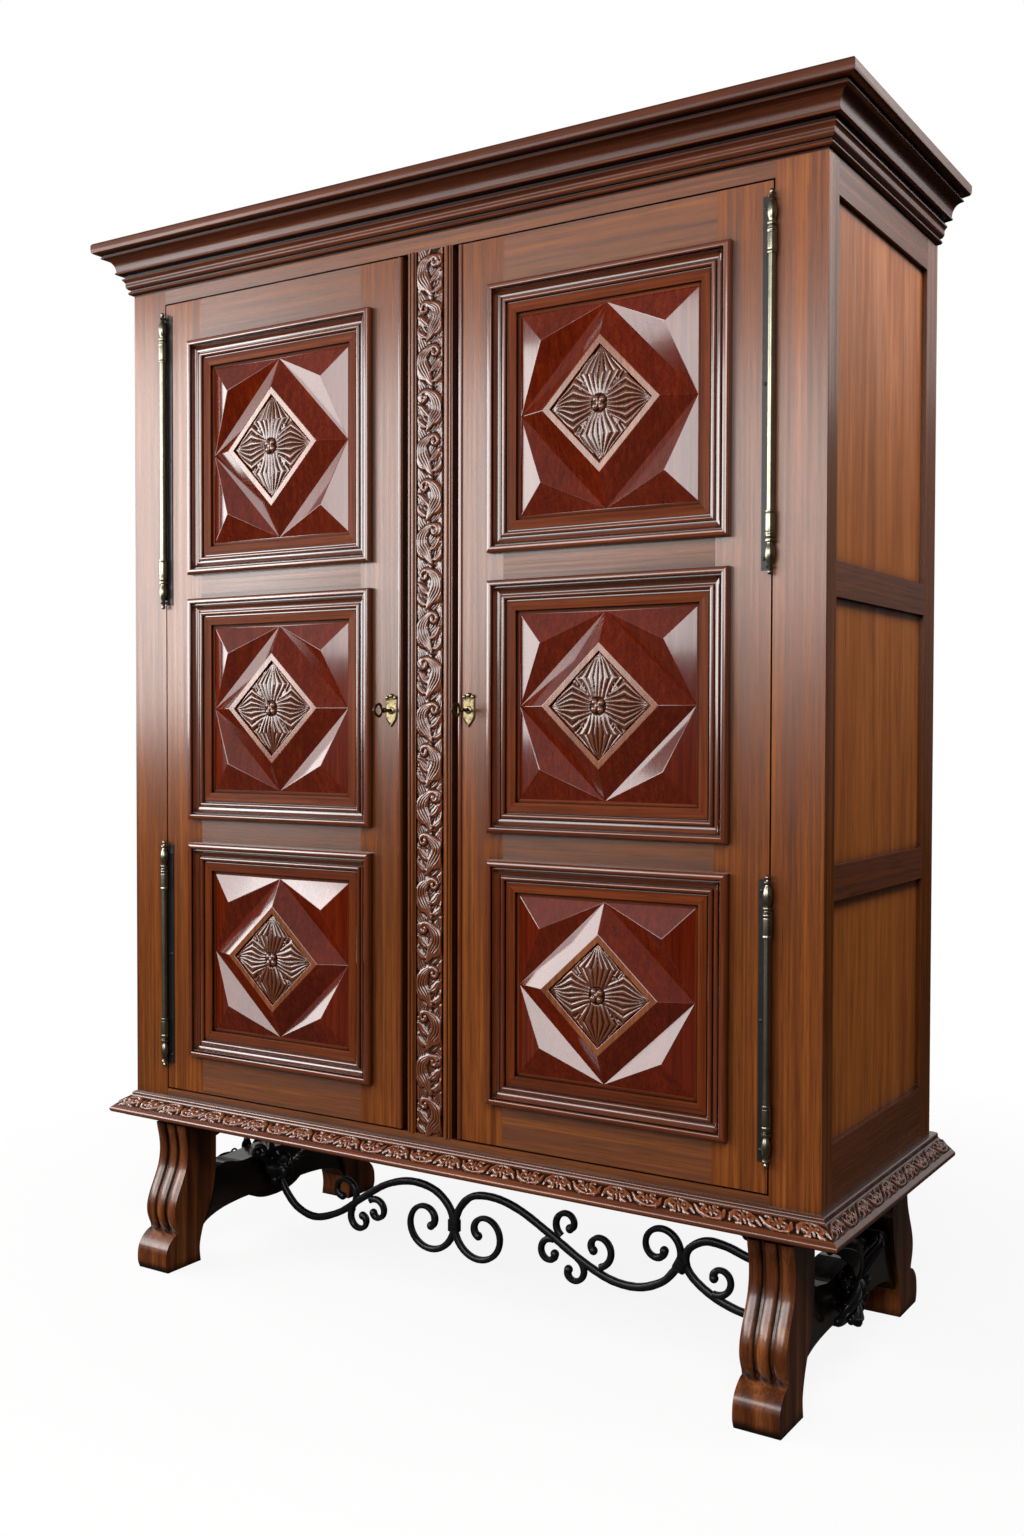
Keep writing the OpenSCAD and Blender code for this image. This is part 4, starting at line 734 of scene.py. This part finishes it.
def turned(profile, base, axis, sides=20):
    """A turned form: its profile is pairs of radius and distance along the axis from the base."""
    base, axis = Vector(base), Vector(axis).normalized()
    aside = axis.cross(Vector((0.0, 0.3, 1.0))).normalized()
    form = bmesh.new()
    spots = [form.verts.new(base + axis * t + aside * r) for r, t in profile]
    edges = [form.edges.new(pair) for pair in zip(spots, spots[1:])]
    bmesh.ops.spin(form, geom=spots + edges, cent=base, axis=axis, angle=2 * math.pi, steps=sides,
                   use_merge=True)
    bmesh.ops.remove_doubles(form, verts=form.verts, dist=0.01)
    bmesh.ops.holes_fill(form, edges=form.edges, sides=0)
    return form


def ball(centre, radius, squash=(1.0, 1.0, 1.0), rings=8, sides=14):
    half = [(math.sin(a), -math.cos(a)) for a in np.linspace(0, math.pi, rings + 1)]
    form = turned(half, (0, 0, 0), (0, 0, 1), sides)
    form.transform(Matrix.LocRotScale(Vector(centre), None, radius * Vector(squash)))
    return form


def in_plane(line):
    return [(x, STAND_Y, z) for x, z in line]


MID, BAR = -150.0, 14.0
iron = metal("wrought_iron", (0.020, 0.020, 0.022), 0.34, 0.5, 90.0, 0.0012)
dress(("iron_stretcher", "iron_bosses"), iron)
stretcher = bmesh.new()
bars = (
    [(-623, 122), (-600, 84), (-566, 54), (-515, 43), (-450, 65), (-390, 105), (-325, 145),
     (-260, 163), (-200, 155), (-162, 125), (MID, 88)],
    [(MID, 88), (-138, 125), (-105, 157), (-50, 163), (10, 148), (80, 113), (150, 75), (215, 50),
     (275, 48), (325, 68), (352, 96)],
    [(623, 144), (560, 140), (505, 146), (455, 160), (412, 161), (378, 138), (376, 106), (402, 78),
     (450, 54), (510, 44), (572, 68), (623, 118)],
)
for bar in bars:
    line = smooth_line(bar, 6.0)
    hammer = rng.normal(0, 0.35, size=(len(line),))
    join(stretcher, forge(in_plane(line), 15.0 + hammer, [BAR] * 2))
curls = (
    ((MID - 68, 86), 68, 12, 2, -400), ((MID + 68, 86), 68, 12, 178, 580), ((-438, 113), 38, 12, -60, 250),
    ((-392, 60), 30, 9, 140, 420), ((-350, 84), 27, 10, 130, -150), ((119, 141), 30, 10, 240, -60),
    ((80, 78), 28, 10, 75, 350), ((131, 50), 30, 10, 70, -190), ((186, 105), 36, 11, -80, 210),
    ((318, 132), 50, 12, -48, 340), ((441, 96), 32, 10, -110, 180),
)
for centre, r0, r1, a0, a1 in curls:
    count = int(abs(a1 - a0) / 9)
    share = np.linspace(0, 1, count + 1)
    radius = r0 + (r1 - r0) * share
    angle = np.radians(a0 + (a1 - a0) * share)
    line = np.stack([centre[0] + radius * np.cos(angle), centre[1] + radius * np.sin(angle)], -1)
    join(stretcher, forge(in_plane(line), [14.0, 13.0, 12.0, 11.0, 10.5, 14.0, 15.0], [BAR, BAR, BAR, 15.0]))
    join(stretcher, ball((line[-1][0], STAND_Y, line[-1][1]), 9.0, (1, 0.95, 1)))
COLLAR_W, COLLAR_D, COLLAR_HALF = 27.0, 20.0, 3.4
for x, z, tilt in ((MID, 90, 90), (364, 108, 62)):
    t = math.radians(tilt)
    ahead = np.array([math.cos(t), 0, math.sin(t)])
    for shift in (-8, 0, 8):
        spot = np.array([x, STAND_Y, z]) + shift * ahead
        ends = [spot - COLLAR_HALF * ahead, spot + COLLAR_HALF * ahead]
        join(stretcher, forge(ends, [COLLAR_W] * 2, [COLLAR_D] * 2, 12))

# Ends of the stretcher, forged of the same iron: a round hub on the trestle rail with a short
# drum and a bolt's head, a ram's-horn curl, a leaf-shaped spike and a twisted brace up to the case.
HUB_Z, RAIL_X1, CASE_UNDER = 132.0, 692.0, 344.5
hub = [(0, -7), (9, -6), (12, -3), (13, 0), (22, 0.5), (28, 3), (30, 7), (29, 12), (26, 16), (25, 17.8),
       (0, 17.8)]
drum = [(0, -3), (9, -2), (14, 1), (17, 4), (17, 9), (14.5, 11), (14, 22), (14, 36), (17, 40), (17, 52),
        (0, 52)]
bolt_head = [(0, -4), (6, -3.5), (9, -1), (10, 3), (10, 9), (0, 9)]
drawn_down = [16, 14, 13, 12, 11, 10, 9, 8]
for sign in (-1, 1):
    out = (sign, 0.0, 0.0)
    join(stretcher, turned(hub, (sign * 614.0, STAND_Y, HUB_Z), out, 26))
    join(stretcher, turned(drum, (sign * 570.0, STAND_Y - 26, HUB_Z + 8), out, 24))
    join(stretcher, turned(bolt_head, (sign * 611.0, STAND_Y - 19, HUB_Z - 19), out, 16))
    horn = []
    for t in np.linspace(0, 1, 9):
        horn.append((sign * (621 - 9 * t), STAND_Y - 8 - 60 * t**0.9, HUB_Z + 8 + 38 * t**1.2))
    x, y, z = sign * 606.0, STAND_Y - 78, HUB_Z + 58
    for t in np.linspace(0.12, 1, 22):
        a = math.radians(-70 + 420 * t)
        r = 17 * (1 - 0.72 * t)
        horn.append((x + sign * r * math.cos(a) * 0.8, y - r * math.cos(a) * 0.6, z + r * math.sin(a)))
    join(stretcher, forge(smooth_line(horn, 3.0), drawn_down, drawn_down, 12, 1.0, (1.0, 0.0, 0.0)))
    join(stretcher, ball(horn[-1], 8.0))
    spike = [(sign * 619, STAND_Y - 14, HUB_Z + 10), (sign * 618, STAND_Y - 24, HUB_Z + 36),
             (sign * 616, STAND_Y - 32, HUB_Z + 62), (sign * 615, STAND_Y - 36, HUB_Z + 86)]
    join(stretcher, forge(smooth_line(spike, 3.0), [10, 14, 19, 12, 1.5], [7, 7, 5, 4, 1], 10, 0.9,
                          (0.3, -1.0, 0.2)))
    for x, y, z, bend in ((618, STAND_Y - 10, HUB_Z + 22, 1), (616, STAND_Y - 22, HUB_Z + 14, -1)):
        leaf = [(sign * x, y, z), (sign * (x - 6), y - 12, z + 16),
                (sign * (x - 16), y - 18 * bend, z + 26), (sign * (x - 25), y - 22 * bend, z + 20)]
        join(stretcher, forge(smooth_line(leaf, 3.0), [8, 13, 9, 4], [5, 5, 4, 3], 8, 0.9,
                              (0.0, -0.6, 0.8)))
    low = np.array([sign * 584.0, STAND_Y - 26, HUB_Z + 10])
    high = np.array([sign * 332.0, STAND_Y - 60, CASE_UNDER])
    join(stretcher, forge(np.linspace(low, high, 70), [13.0] * 2, [13.0] * 2, 10, 1.0))
    for k in (0.06, 0.12):
        ring = [(7, -4), (10, -2), (10.5, 0), (10, 2), (7, 4)]
        join(stretcher, turned(ring, low + (high - low) * k, high - low, 16))
    ahead = (high - low) / np.linalg.norm(high - low)
    first = np.cross(ahead, (0.0, 1.0, 0.0))
    first /= np.linalg.norm(first)
    second = np.cross(ahead, first)
    for phase in (0, 120, 240):
        rope = []
        for t in np.linspace(0.15, 0.42, 60):
            a = math.radians(phase) + t * 60
            rope.append(low + (high - low) * t + 5.6 * (first * math.cos(a) + second * math.sin(a)))
        join(stretcher, forge(rope, [5.6] * 2, [5.6] * 2, 6, 1.0))
    foot = [(13, 0), (13, 3), (11, 5.3), (0, 5.3)]
    join(stretcher, turned(foot, (high[0], high[1], CASE_UNDER + 0.1), (0, 0, 1), 20))
piece("forged_stretcher", stretcher, [iron], "case", ["iron_stretcher"], sharp=50.0)

# Outer bosses: the domed head of each stretcher bolt in a cluster of forged and burnished iron
# leaves that bend outwards, with their tips rolled up, and thin wire curls round it.
iron_gloss = metal("polished_iron", (0.022, 0.022, 0.024), 0.16, 0.6, 60.0, 0.0016)
dome = [(0, 0), (27, 0), (28, 2.5), (27, 6), (22, 8.5), (22, 10), (21, 15), (17.5, 21), (12, 25.5),
        (5, 28), (0, 28.5)]
wires = (((-62, 34), 13, 10, 150, -200), ((34, 64), 15, 7, -90, 330), ((-8, 66), 10, 5, 200, -180))
low_sweeps = [([(-16, 6), (-44, 16), (-72, 12), (-96, -6), (-104, -22)], 40),
              ([(-14, -10), (-36, -24), (-60, -28), (-80, -24)], 34)]
rising_sweeps = [([(-10, 20), (-36, 54), (-74, 86), (-116, 108), (-146, 112)], 46),
                 ([(12, 22), (30, 50), (46, 68), (60, 72)], 32)]
bosses = bmesh.new()
for sign in (-1, 1):
    base = np.array([sign * RAIL_X1, STAND_Y, HUB_Z])
    out = np.array([sign, 0.0, 0.0])
    join(bosses, turned([(9, -60), (9, 0)], base, out, 16))
    join(bosses, turned(dome, base, out, 28))
    for k in range(8):
        a = math.radians(45 * k + 12) + rng.normal(0, 0.06)
        reach = np.array([0.0, math.cos(a), math.sin(a)])
        size = (0.82 if reach[2] < 0.3 else 0.95) + rng.normal(0, 0.05)
        leaf = [base + reach * 14 + out * 4] + [
            base + reach * far * size + out * rise for far, rise in ((28, 10), (43, 17), (55, 15), (61, 7))]
        join(bosses, forge(smooth_line(leaf, 3.0), [16, 26, 29, 22, 8], [6, 8, 9, 7, 4], 12, 0.85, out))
        rib = smooth_line([p + out * 4 for p in leaf[:4]], 4.0)
        join(bosses, forge(rib, [7, 7, 6, 3], [5, 6, 5, 3], 8, 1.0, out))
        if k % 2 == 0:
            join(bosses, ball(base + reach * 60 * size + out * 9, 7.5))
        turn = np.array([0.0, -math.sin(a), math.cos(a)])
        join(bosses, ball(base + reach * 33 + turn * 13 + out * 9, 7.0 + rng.normal(0, 0.6)))
    for (y, z), r0, r1, a0, a1 in wires:
        wire = []
        for t in np.linspace(0, 1, 26):
            a = math.radians(a0 + (a1 - a0) * t)
            r = r0 + (r1 - r0) * t
            wire.append(base + out * (6 + 6 * t) + np.array([0.0, y + r * math.cos(a), z + r * math.sin(a)]))
        join(bosses, forge(wire, [4.4, 4.4, 3.6], [4.4, 4.4, 3.6], 8, 1.0, out))
        stem = [base + np.array([sign * 4, y * 0.45, z * 0.45]), wire[0]]
        join(bosses, forge(stem, [6.0, 4.2], [6.0, 4.2], 8, 1.0, out))
    for sweep, width in low_sweeps + (rising_sweeps if sign > 0 else []):
        bend = [base + np.array([sign * rise, y, z]) for (y, z), rise in zip(sweep, (10, 24, 34, 26, 12))]
        widths = [width * 0.4, width * 0.9, width, width * 0.8, 8]
        join(bosses, forge(smooth_line(bend, 4.0), widths, [9, 14, 16, 12, 5], 14, 0.9, out))
        rib = smooth_line([p + out * 7 for p in bend], 4.0)
        join(bosses, forge(rib, [9, 9, 8, 4], [7, 9, 8, 4], 8, 1.0, out))
        join(bosses, ball(bend[-1] + out * 4, 9.0, (0.8, 1, 1)))
piece("forged_bosses", bosses, [iron_gloss], "case", ["iron_bosses"], sharp=50.0)


# Hinges: slim brass rods between turned balusters that are screwed to the post, with a leaf in
# the gap, and on the door the knuckles, each with turned rings and a leaf behind it, and a thin
# dark iron strip nailed on the stile beside the rod, a dark sheet that paints the shade there.
def box(x0, x1, y0, y1, z0, z1):
    form = bmesh.new()
    low, high = Vector((x0, y0, z0)), Vector((x1, y1, z1))
    place = Matrix.LocRotScale((low + high) / 2, None, high - low)
    bmesh.ops.create_cube(form, size=1.0, matrix=place)
    return form


HINGE_X, HINGE_Y, BALUSTER, KNUCKLE = 660.5, -299.5, 62.0, 38.0
HINGES = ((412.0, 466.0), (1350.0, 600.0))
LEAF_BACK, STRIP_X, CLEAR = -266.5, 647.5, 0.5
brass = metal("hinge_brass", (0.30, 0.285, 0.215), 0.27, 1.0, 40.0, 0.0002, 0.7)
dress(("hinge_rods", "hinge_knuckles"), brass)
baluster = [
    (0, 0), (2.2, 0.4), (3.8, 2.2), (4.2, 4.2), (3.6, 6.4), (2.6, 8.2), (2.9, 9.6), (5.6, 10.6),
    (6.4, 12.4), (5.6, 14.2), (3.6, 15.6), (4.2, 18), (6.0, 22), (7.5, 28), (7.9, 34), (7.4, 40),
    (6.0, 45), (4.9, 48.5), (5.0, 50.4), (7.8, 51.4), (8.2, 53.6), (7.8, 55.8), (5.8, 57.0),
    (6.2, 58.6), (7.6, 59.8), (7.6, 62.0),
]
knuckle = [
    (6.06, 0.0), (7.9, 0.0), (8.2, 1.2), (8.2, 3.4), (7.4, 4.4), (7.4, 6.0), (8.0, 7.2), (7.9, 19.0),
    (8.0, 30.8), (7.4, 32.0), (7.4, 33.6), (8.2, 34.6), (8.2, 36.8), (7.9, 38.0), (6.06, 38.0),
    (6.06, 0.0),
]
nail = [(3.2, 0), (3.0, 0.9), (1.6, 1.7), (0, 1.9)]
rods = bmesh.new()
for sign in (-1, 1):
    for z, length in HINGES:
        rod = baluster + [(6.0, BALUSTER), (6.0, length - BALUSTER)]
        rod += [(r, length - t) for r, t in baluster[::-1]]
        join(rods, turned(rod, (sign * HINGE_X, HINGE_Y, z), (0, 0, 1), 24))
        for low in (z + 18.6, z + length - BALUSTER):
            join(rods, box(sign * 660.7, sign * 662.0, HINGE_Y + 3, LEAF_BACK, low, low + 43.4))
piece("turned_hinge_rods", rods, [brass], "case", ["hinge_rods"], sharp=40.0)
for side, sign in SIDES.items():
    leaves = bmesh.new()
    for z, length in HINGES:
        for low in (z + BALUSTER + CLEAR, z + length - BALUSTER - KNUCKLE - CLEAR):
            join(leaves, turned(knuckle, (sign * HINGE_X, HINGE_Y, low), (0, 0, 1), 24), 0)
            back_leaf = box(sign * 659.0, sign * 660.3, HINGE_Y + 7, LEAF_BACK, low, low + KNUCKLE)
            join(leaves, back_leaf, 1)
        # Painted shade: the dark strip beside the rod stands for the shade of the gap and of the rod.
        strip = box(sign * 642.5, sign * 657.2, FACE - 1.6, FACE, z + 8, z + length - 8)
        join(leaves, strip, 1)
        for t in (26, length / 2, length - 26):
            join(leaves, turned(nail, (sign * STRIP_X, FACE - 1.5, z + t), (0, -1, 0), 12), 1)
    piece(f"{side}_hinge_leaves", leaves, [brass, iron], f"{side}_door",
          [f"{side}_hinge_knuckles"], sharp=40.0)

# Locks: a cast plate of old brass with a crown of small balls and a pointed foot, pinned over the
# keyhole, and the brass key in it, with a pierced bow, a collar and a stepped bit. The lock cases,
# bolts and keepers are steel.
LOCK_X, LOCK_Z, BOW_OUT, BIT_IN = 86.0, 1141.0, 41.0, 76.2
old_brass = metal("old_brass", (0.36, 0.29, 0.16), 0.34, 1.0, 160.0, 0.0005, 0.4)
key_brass = metal("key_brass", (0.17, 0.13, 0.07), 0.3, 1.0, 160.0, 0.0005, 0.4)
dress(("escutcheon", "key"), old_brass)
dress(("lock_case", "bolt", "lock_keepers"), metal("lock_steel", (0.5, 0.5, 0.48), 0.35, 1.0, 60.0, 0.0002))
outline = [(-12.5, 20), (-12.5, -12), (-11, -17), (-8, -21), (-4, -26), (0, -30.5), (4, -26), (8, -21),
           (11, -17), (12.5, -12), (12.5, 20), (8, 22.5), (0, 24), (-8, 22.5)]
layers = ((1.0, 0.0), (1.0, 1.7), (0.88, 2.9), (0.84, 2.2), (0.3, 2.3))
keyhole_rim = [(7.2, 0), (7.2, 1.6), (5.6, 2.6), (4.2, 2.8), (4.2, 0.4)]
pin = [(1.8, 0), (1.6, 0.8), (0, 1.3)]
shank = [(0, 0), (2.6, 0.4), (3.0, 2), (3.0, 73.4), (2.6, 74.2), (0, 74.2)]
collar = [(3, 0), (4.6, 0.6), (5.0, 2), (4.2, 3.4), (4.8, 4.8), (5.0, 6), (3.6, 7.4), (3, 8)]
for side, sign in SIDES.items():
    x0 = sign * LOCK_X
    plate = skin([[(x0 + x * shrink, FACE - rise, LOCK_Z + z * shrink) for x, z in outline]
                  for shrink, rise in layers])
    for x, z, r in ((-9.2, 23.5, 3.9), (0, 26.5, 4.6), (9.2, 23.5, 3.9), (0, -27, 2.2)):
        join(plate, ball((x0 + x, FACE - 2.2, LOCK_Z + z), r, (1, 0.75, 1), 6, 12))
    join(plate, turned(keyhole_rim, (x0, FACE - 2.1, LOCK_Z), (0, -1, 0), 18))
    for x in (-8.6, 8.6):
        for z in (13.5, -13):
            join(plate, turned(pin, (x0 + x, FACE - 2.1, LOCK_Z + z), (0, -1, 0), 10))
    piece(f"{side}_keyhole_plate", plate, [old_brass], f"{side}_door",
          [f"{side}_escutcheon"], sharp=40.0)
    bow_y = FACE - BOW_OUT
    key = turned(shank, (x0, bow_y + 10.5, LOCK_Z), (0, 1, 0), 16)
    join(key, turned(collar, (x0, bow_y + 13.0, LOCK_Z), (0, 1, 0), 16))
    bow = []
    for a in np.linspace(0, 2 * math.pi, 37):
        r = 10.2 + 1.0 * math.cos(3 * a)
        bow.append((x0, bow_y - r * math.cos(a), LOCK_Z + r * 1.08 * math.sin(a)))
    join(key, forge(bow, [4.6] * 2, [4.8] * 2, 10, 0.9, (1.0, 0.0, 0.0)))
    join(key, ball((x0, bow_y - 12.6, LOCK_Z), 2.6))
    for low, high, depth in ((0, 2.8, 8.4), (2.8, 5.0, 5.6), (5.0, 7.6, 8.4)):
        join(key, box(x0 - 1.4, x0 + 1.4, bow_y + BIT_IN + low, bow_y + BIT_IN + high,
                      LOCK_Z - depth, LOCK_Z - 1.5))
    piece(f"{side}_pierced_key", key, [key_brass], f"{side}_key", [f"{side}_key"], sharp=40.0)

# Cornice: a built-up moulding of dark brown wood, mitred at the front corners and glued to the
# top of the case: a low bead, an ogee, a wide cove and a flat crown, with thin fillets and deep
# undercuts between them.
CASE_TOP, BACK_Y = 1996.0, 265.5
# The cornice wood gets painted shade in its undercuts and hollows.
cornice_across = wood("cornice_wood_across", "x", brown, gloss=0.22, coat=0.05, across=0.0, shade_reach=0.022,
                      shade_depth=0.95, shine=0.25)
cornice_deep = wood("cornice_wood_deep", "y", brown, gloss=0.25, across=0.0, shade_reach=0.022, shade_depth=0.95)
dress("cornice_front", cornice_across)
dress(("cornice_left", "cornice_right"), cornice_deep)
crown = (
    [(-40, 0), (0, 0), (0, 3.4), (4.6, 4.0)] + arc(4.4, 8.0, 4.6, 4.0, -80, 80, 7)
    + [(5.4, 12.4), (5.4, 14.2), (8.6, 15.0)]
    + [(8.6 + 8.2 * t + 1.6 * math.sin(2 * math.pi * t), 15.0 + 18.0 * t) for t in np.linspace(0.1, 1.0, 9)]
    + [(17.6, 33.4), (17.6, 36.4), (13.6, 37.4), (13.6, 42.6), (26.6, 44.4), (27.6, 45.2), (27.6, 48.0),
       (25.6, 48.6), (25.6, 50.4)]
    + [(46.0 - 20.0 * math.cos(t), 50.4 + 23.6 * math.sin(t)) for t in np.radians(range(8, 91, 9))]
    + [(47.6, 74.6), (47.6, 77.2), (44.6, 78.0), (44.6, 81.4), (57.6, 83.4), (59.2, 84.4)]
    + [(59.2 + 2.7 * math.sin(t), 84.4 + 8.0 * (1 - math.cos(t))) for t in np.radians((30, 60, 90))]
    + [(61.9, 100.6), (61.2, 101.4), (59.4, 104), (-40, 104)]
)
for run in ("front", "left", "right"):
    piece(f"cornice_{run}_moulding", mitred(run, crown, CASE_TOP, BACK_Y),
          [cornice_across if run == "front" else cornice_deep], "case",
          [f"cornice_{run}"], sharp=24.0)

# Floor: white paper that keeps a soft shadow near the feet and passes into plain white farther
# out. Mirror-like rays see it darker, as the photograph's room was.
paper = bpy.data.materials.new("floor_paper")
paper.use_nodes = True
tree = paper.node_tree
tree.nodes.clear()
place = add(tree, "TexCoord").outputs["Object"]
rays = add(tree, "LightPath").outputs
distance = add(tree, "VectorMath", {0: place}, operation="LENGTH").outputs["Value"]
shaded = spread(tree, distance, 0.8, 2.4, 0.12, 0.0, "SMOOTHSTEP")
white = add(tree, "Emission", {"Color": (1.0, 1.0, 1.0, 1.0), "Strength": 1.0}).outputs["Emission"]
paint, bounce, dim = [
    add(tree, "BsdfDiffuse", {"Color": colour}).outputs["BSDF"]
    for colour in ((0.85, 0.85, 0.85, 1.0), (0.05, 0.046, 0.042, 1.0), (0.06, 0.055, 0.05, 1.0))
]
near = add(tree, "MixShader", {0: shaded, 1: white, 2: paint}).outputs["Shader"]
reflected = add(tree, "MixShader", {0: rays["Is Glossy Ray"], 1: bounce, 2: dim}).outputs["Shader"]
shown = add(tree, "MixShader", {0: rays["Is Camera Ray"], 1: reflected, 2: near}).outputs["Shader"]
add(tree, "OutputMaterial", {"Surface": shown})
ground = bmesh.new()
bmesh.ops.create_grid(ground, x_segments=1, y_segments=1, size=14.0)
mesh = bpy.data.meshes.new("floor")
ground.to_mesh(mesh)
ground.free()
mesh.materials.append(paper)
floor = bpy.data.objects.new("floor", mesh)
bpy.context.scene.collection.objects.link(floor)

# Surround: white to the camera and through gaps, a low even light on the object, and in
# reflections a pale band in front and at the left, over a dark room.
world = bpy.data.worlds.new("surround")
bpy.context.scene.world = world
world.cycles.sampling_method = "NONE"
world.use_nodes = True
tree = world.node_tree
tree.nodes.clear()
rays = add(tree, "LightPath").outputs
towards = add(tree, "TexCoord").outputs["Generated"]
apart = add(tree, "SeparateXYZ", {0: towards}).outputs
lobe = add(tree, "VectorMath", {0: towards, 1: (-0.66, -0.72, 0.2)}, operation="DOT_PRODUCT")


def between(value, low, high, start, end):
    return spread(tree, value, low, high, start, end, "SMOOTHSTEP")


def combine(operation, a, b):
    return add(tree, "Math", {0: a, 1: b}, operation=operation).outputs["Value"]


def background(strength):
    return add(tree, "Background", {"Color": (1.0, 1.0, 1.0, 1.0), "Strength": strength}).outputs["Background"]


band = combine("MULTIPLY", between(apart["Z"], -0.12, 0.16, 0.0, 1.0),
               between(apart["Z"], 0.35, 0.8, 1.0, 0.25))
glow = combine("MULTIPLY", band, between(lobe.outputs["Value"], 0.3, 0.95, 0.04, 0.62))
behind = combine("MULTIPLY", between(apart["Z"], 0.14, 0.3, 0.0, 1.0),
                 between(apart["Y"], 0.2, 0.7, 0.0, 0.4))
walls = combine("ADD", combine("MULTIPLY", band, 0.1), behind)
room = background(combine("ADD", combine("ADD", glow, walls), 0.02))
unseen = add(tree, "MixShader", {0: rays["Is Glossy Ray"], 1: background(0.09), 2: room}).outputs["Shader"]
plainly = combine("MAXIMUM", rays["Is Camera Ray"], rays["Is Transmission Ray"])
shown = add(tree, "MixShader", {0: plainly, 1: unseen, 2: background(1.0)}).outputs["Shader"]
add(tree, "OutputWorld", {"Surface": shown})

# Lights: five windows from the left round to the front, which the polished wood shows, a high
# lamp from the right in front, a window behind on the right that gives the side its sheen, and
# a lamp on the right for the side panels.
for name, place, target, width, height, power in (
    ("side_window", (-4.1, -0.1, 1.9), (-0.3, -0.3, 1.6), 1.7, 1.7, 50.0),
    ("left_window", (-3.5, -2.1, 1.95), (0.0, -0.2, 1.75), 2.8, 1.75, 92.0),
    ("corner_window", (-2.4, -3.5, 1.95), (0.0, -0.2, 1.6), 2.1, 1.5, 56.0),
    ("middle_window", (-0.94, -4.25, 2.15), (0.5, -0.2, 1.7), 1.2, 1.1, 20.0),
    ("front_window", (0.85, -4.4, 2.2), (0.3, -0.2, 1.5), 2.0, 1.55, 68.0),
    ("high_lamp", (2.0, -3.0, 3.4), (0.0, -0.3, 1.2), 1.2, 1.2, 92.0),
    ("back_window", (1.98, 2.25, 2.75), (0.75, -0.1, 1.9), 0.6, 1.1, 3.4),
    ("right_lamp", (1.5, 0.3, 2.6), (0.72, 0.0, 1.6), 0.6, 0.6, 13.0),
):
    light = bpy.data.lights.new(name, "AREA")
    light.shape = "RECTANGLE"
    light.size = width
    light.size_y = height
    light.energy = power
    light.color = (1.0, 0.985, 0.97)
    lamp = bpy.data.objects.new(name, light)
    lamp.visible_glossy = name != "high_lamp"
    lamp.location = place
    lamp.rotation_euler = (Vector(target) - Vector(place)).to_track_quat("-Z", "Y").to_euler()
    bpy.context.scene.collection.objects.link(lamp)

# Camera: fitted to the corners of the case, cornice, doors and feet in the photograph.
camera = bpy.data.cameras.new("camera")
camera.sensor_width = 36.0
camera.lens = 35.17
eye = bpy.data.objects.new("camera", camera)
azimuth, pitch, roll = math.radians(32.4438), math.radians(-1.4424), math.radians(-0.136)
ahead = Vector((-math.sin(azimuth) * math.cos(pitch), math.cos(azimuth) * math.cos(pitch), math.sin(pitch)))
right = Vector((math.cos(azimuth), math.sin(azimuth), 0.0))
up = right.cross(ahead)
turned = Matrix.Rotation(roll, 3, ahead)
eye.matrix_world = Matrix.Translation((1.5859, -2.507, 1.1052)) @ Matrix(
    (turned @ right, turned @ up, -ahead)
).transposed().to_4x4()
bpy.context.scene.collection.objects.link(eye)
bpy.context.scene.camera = eye
bpy.context.scene.view_settings.view_transform = "Standard"
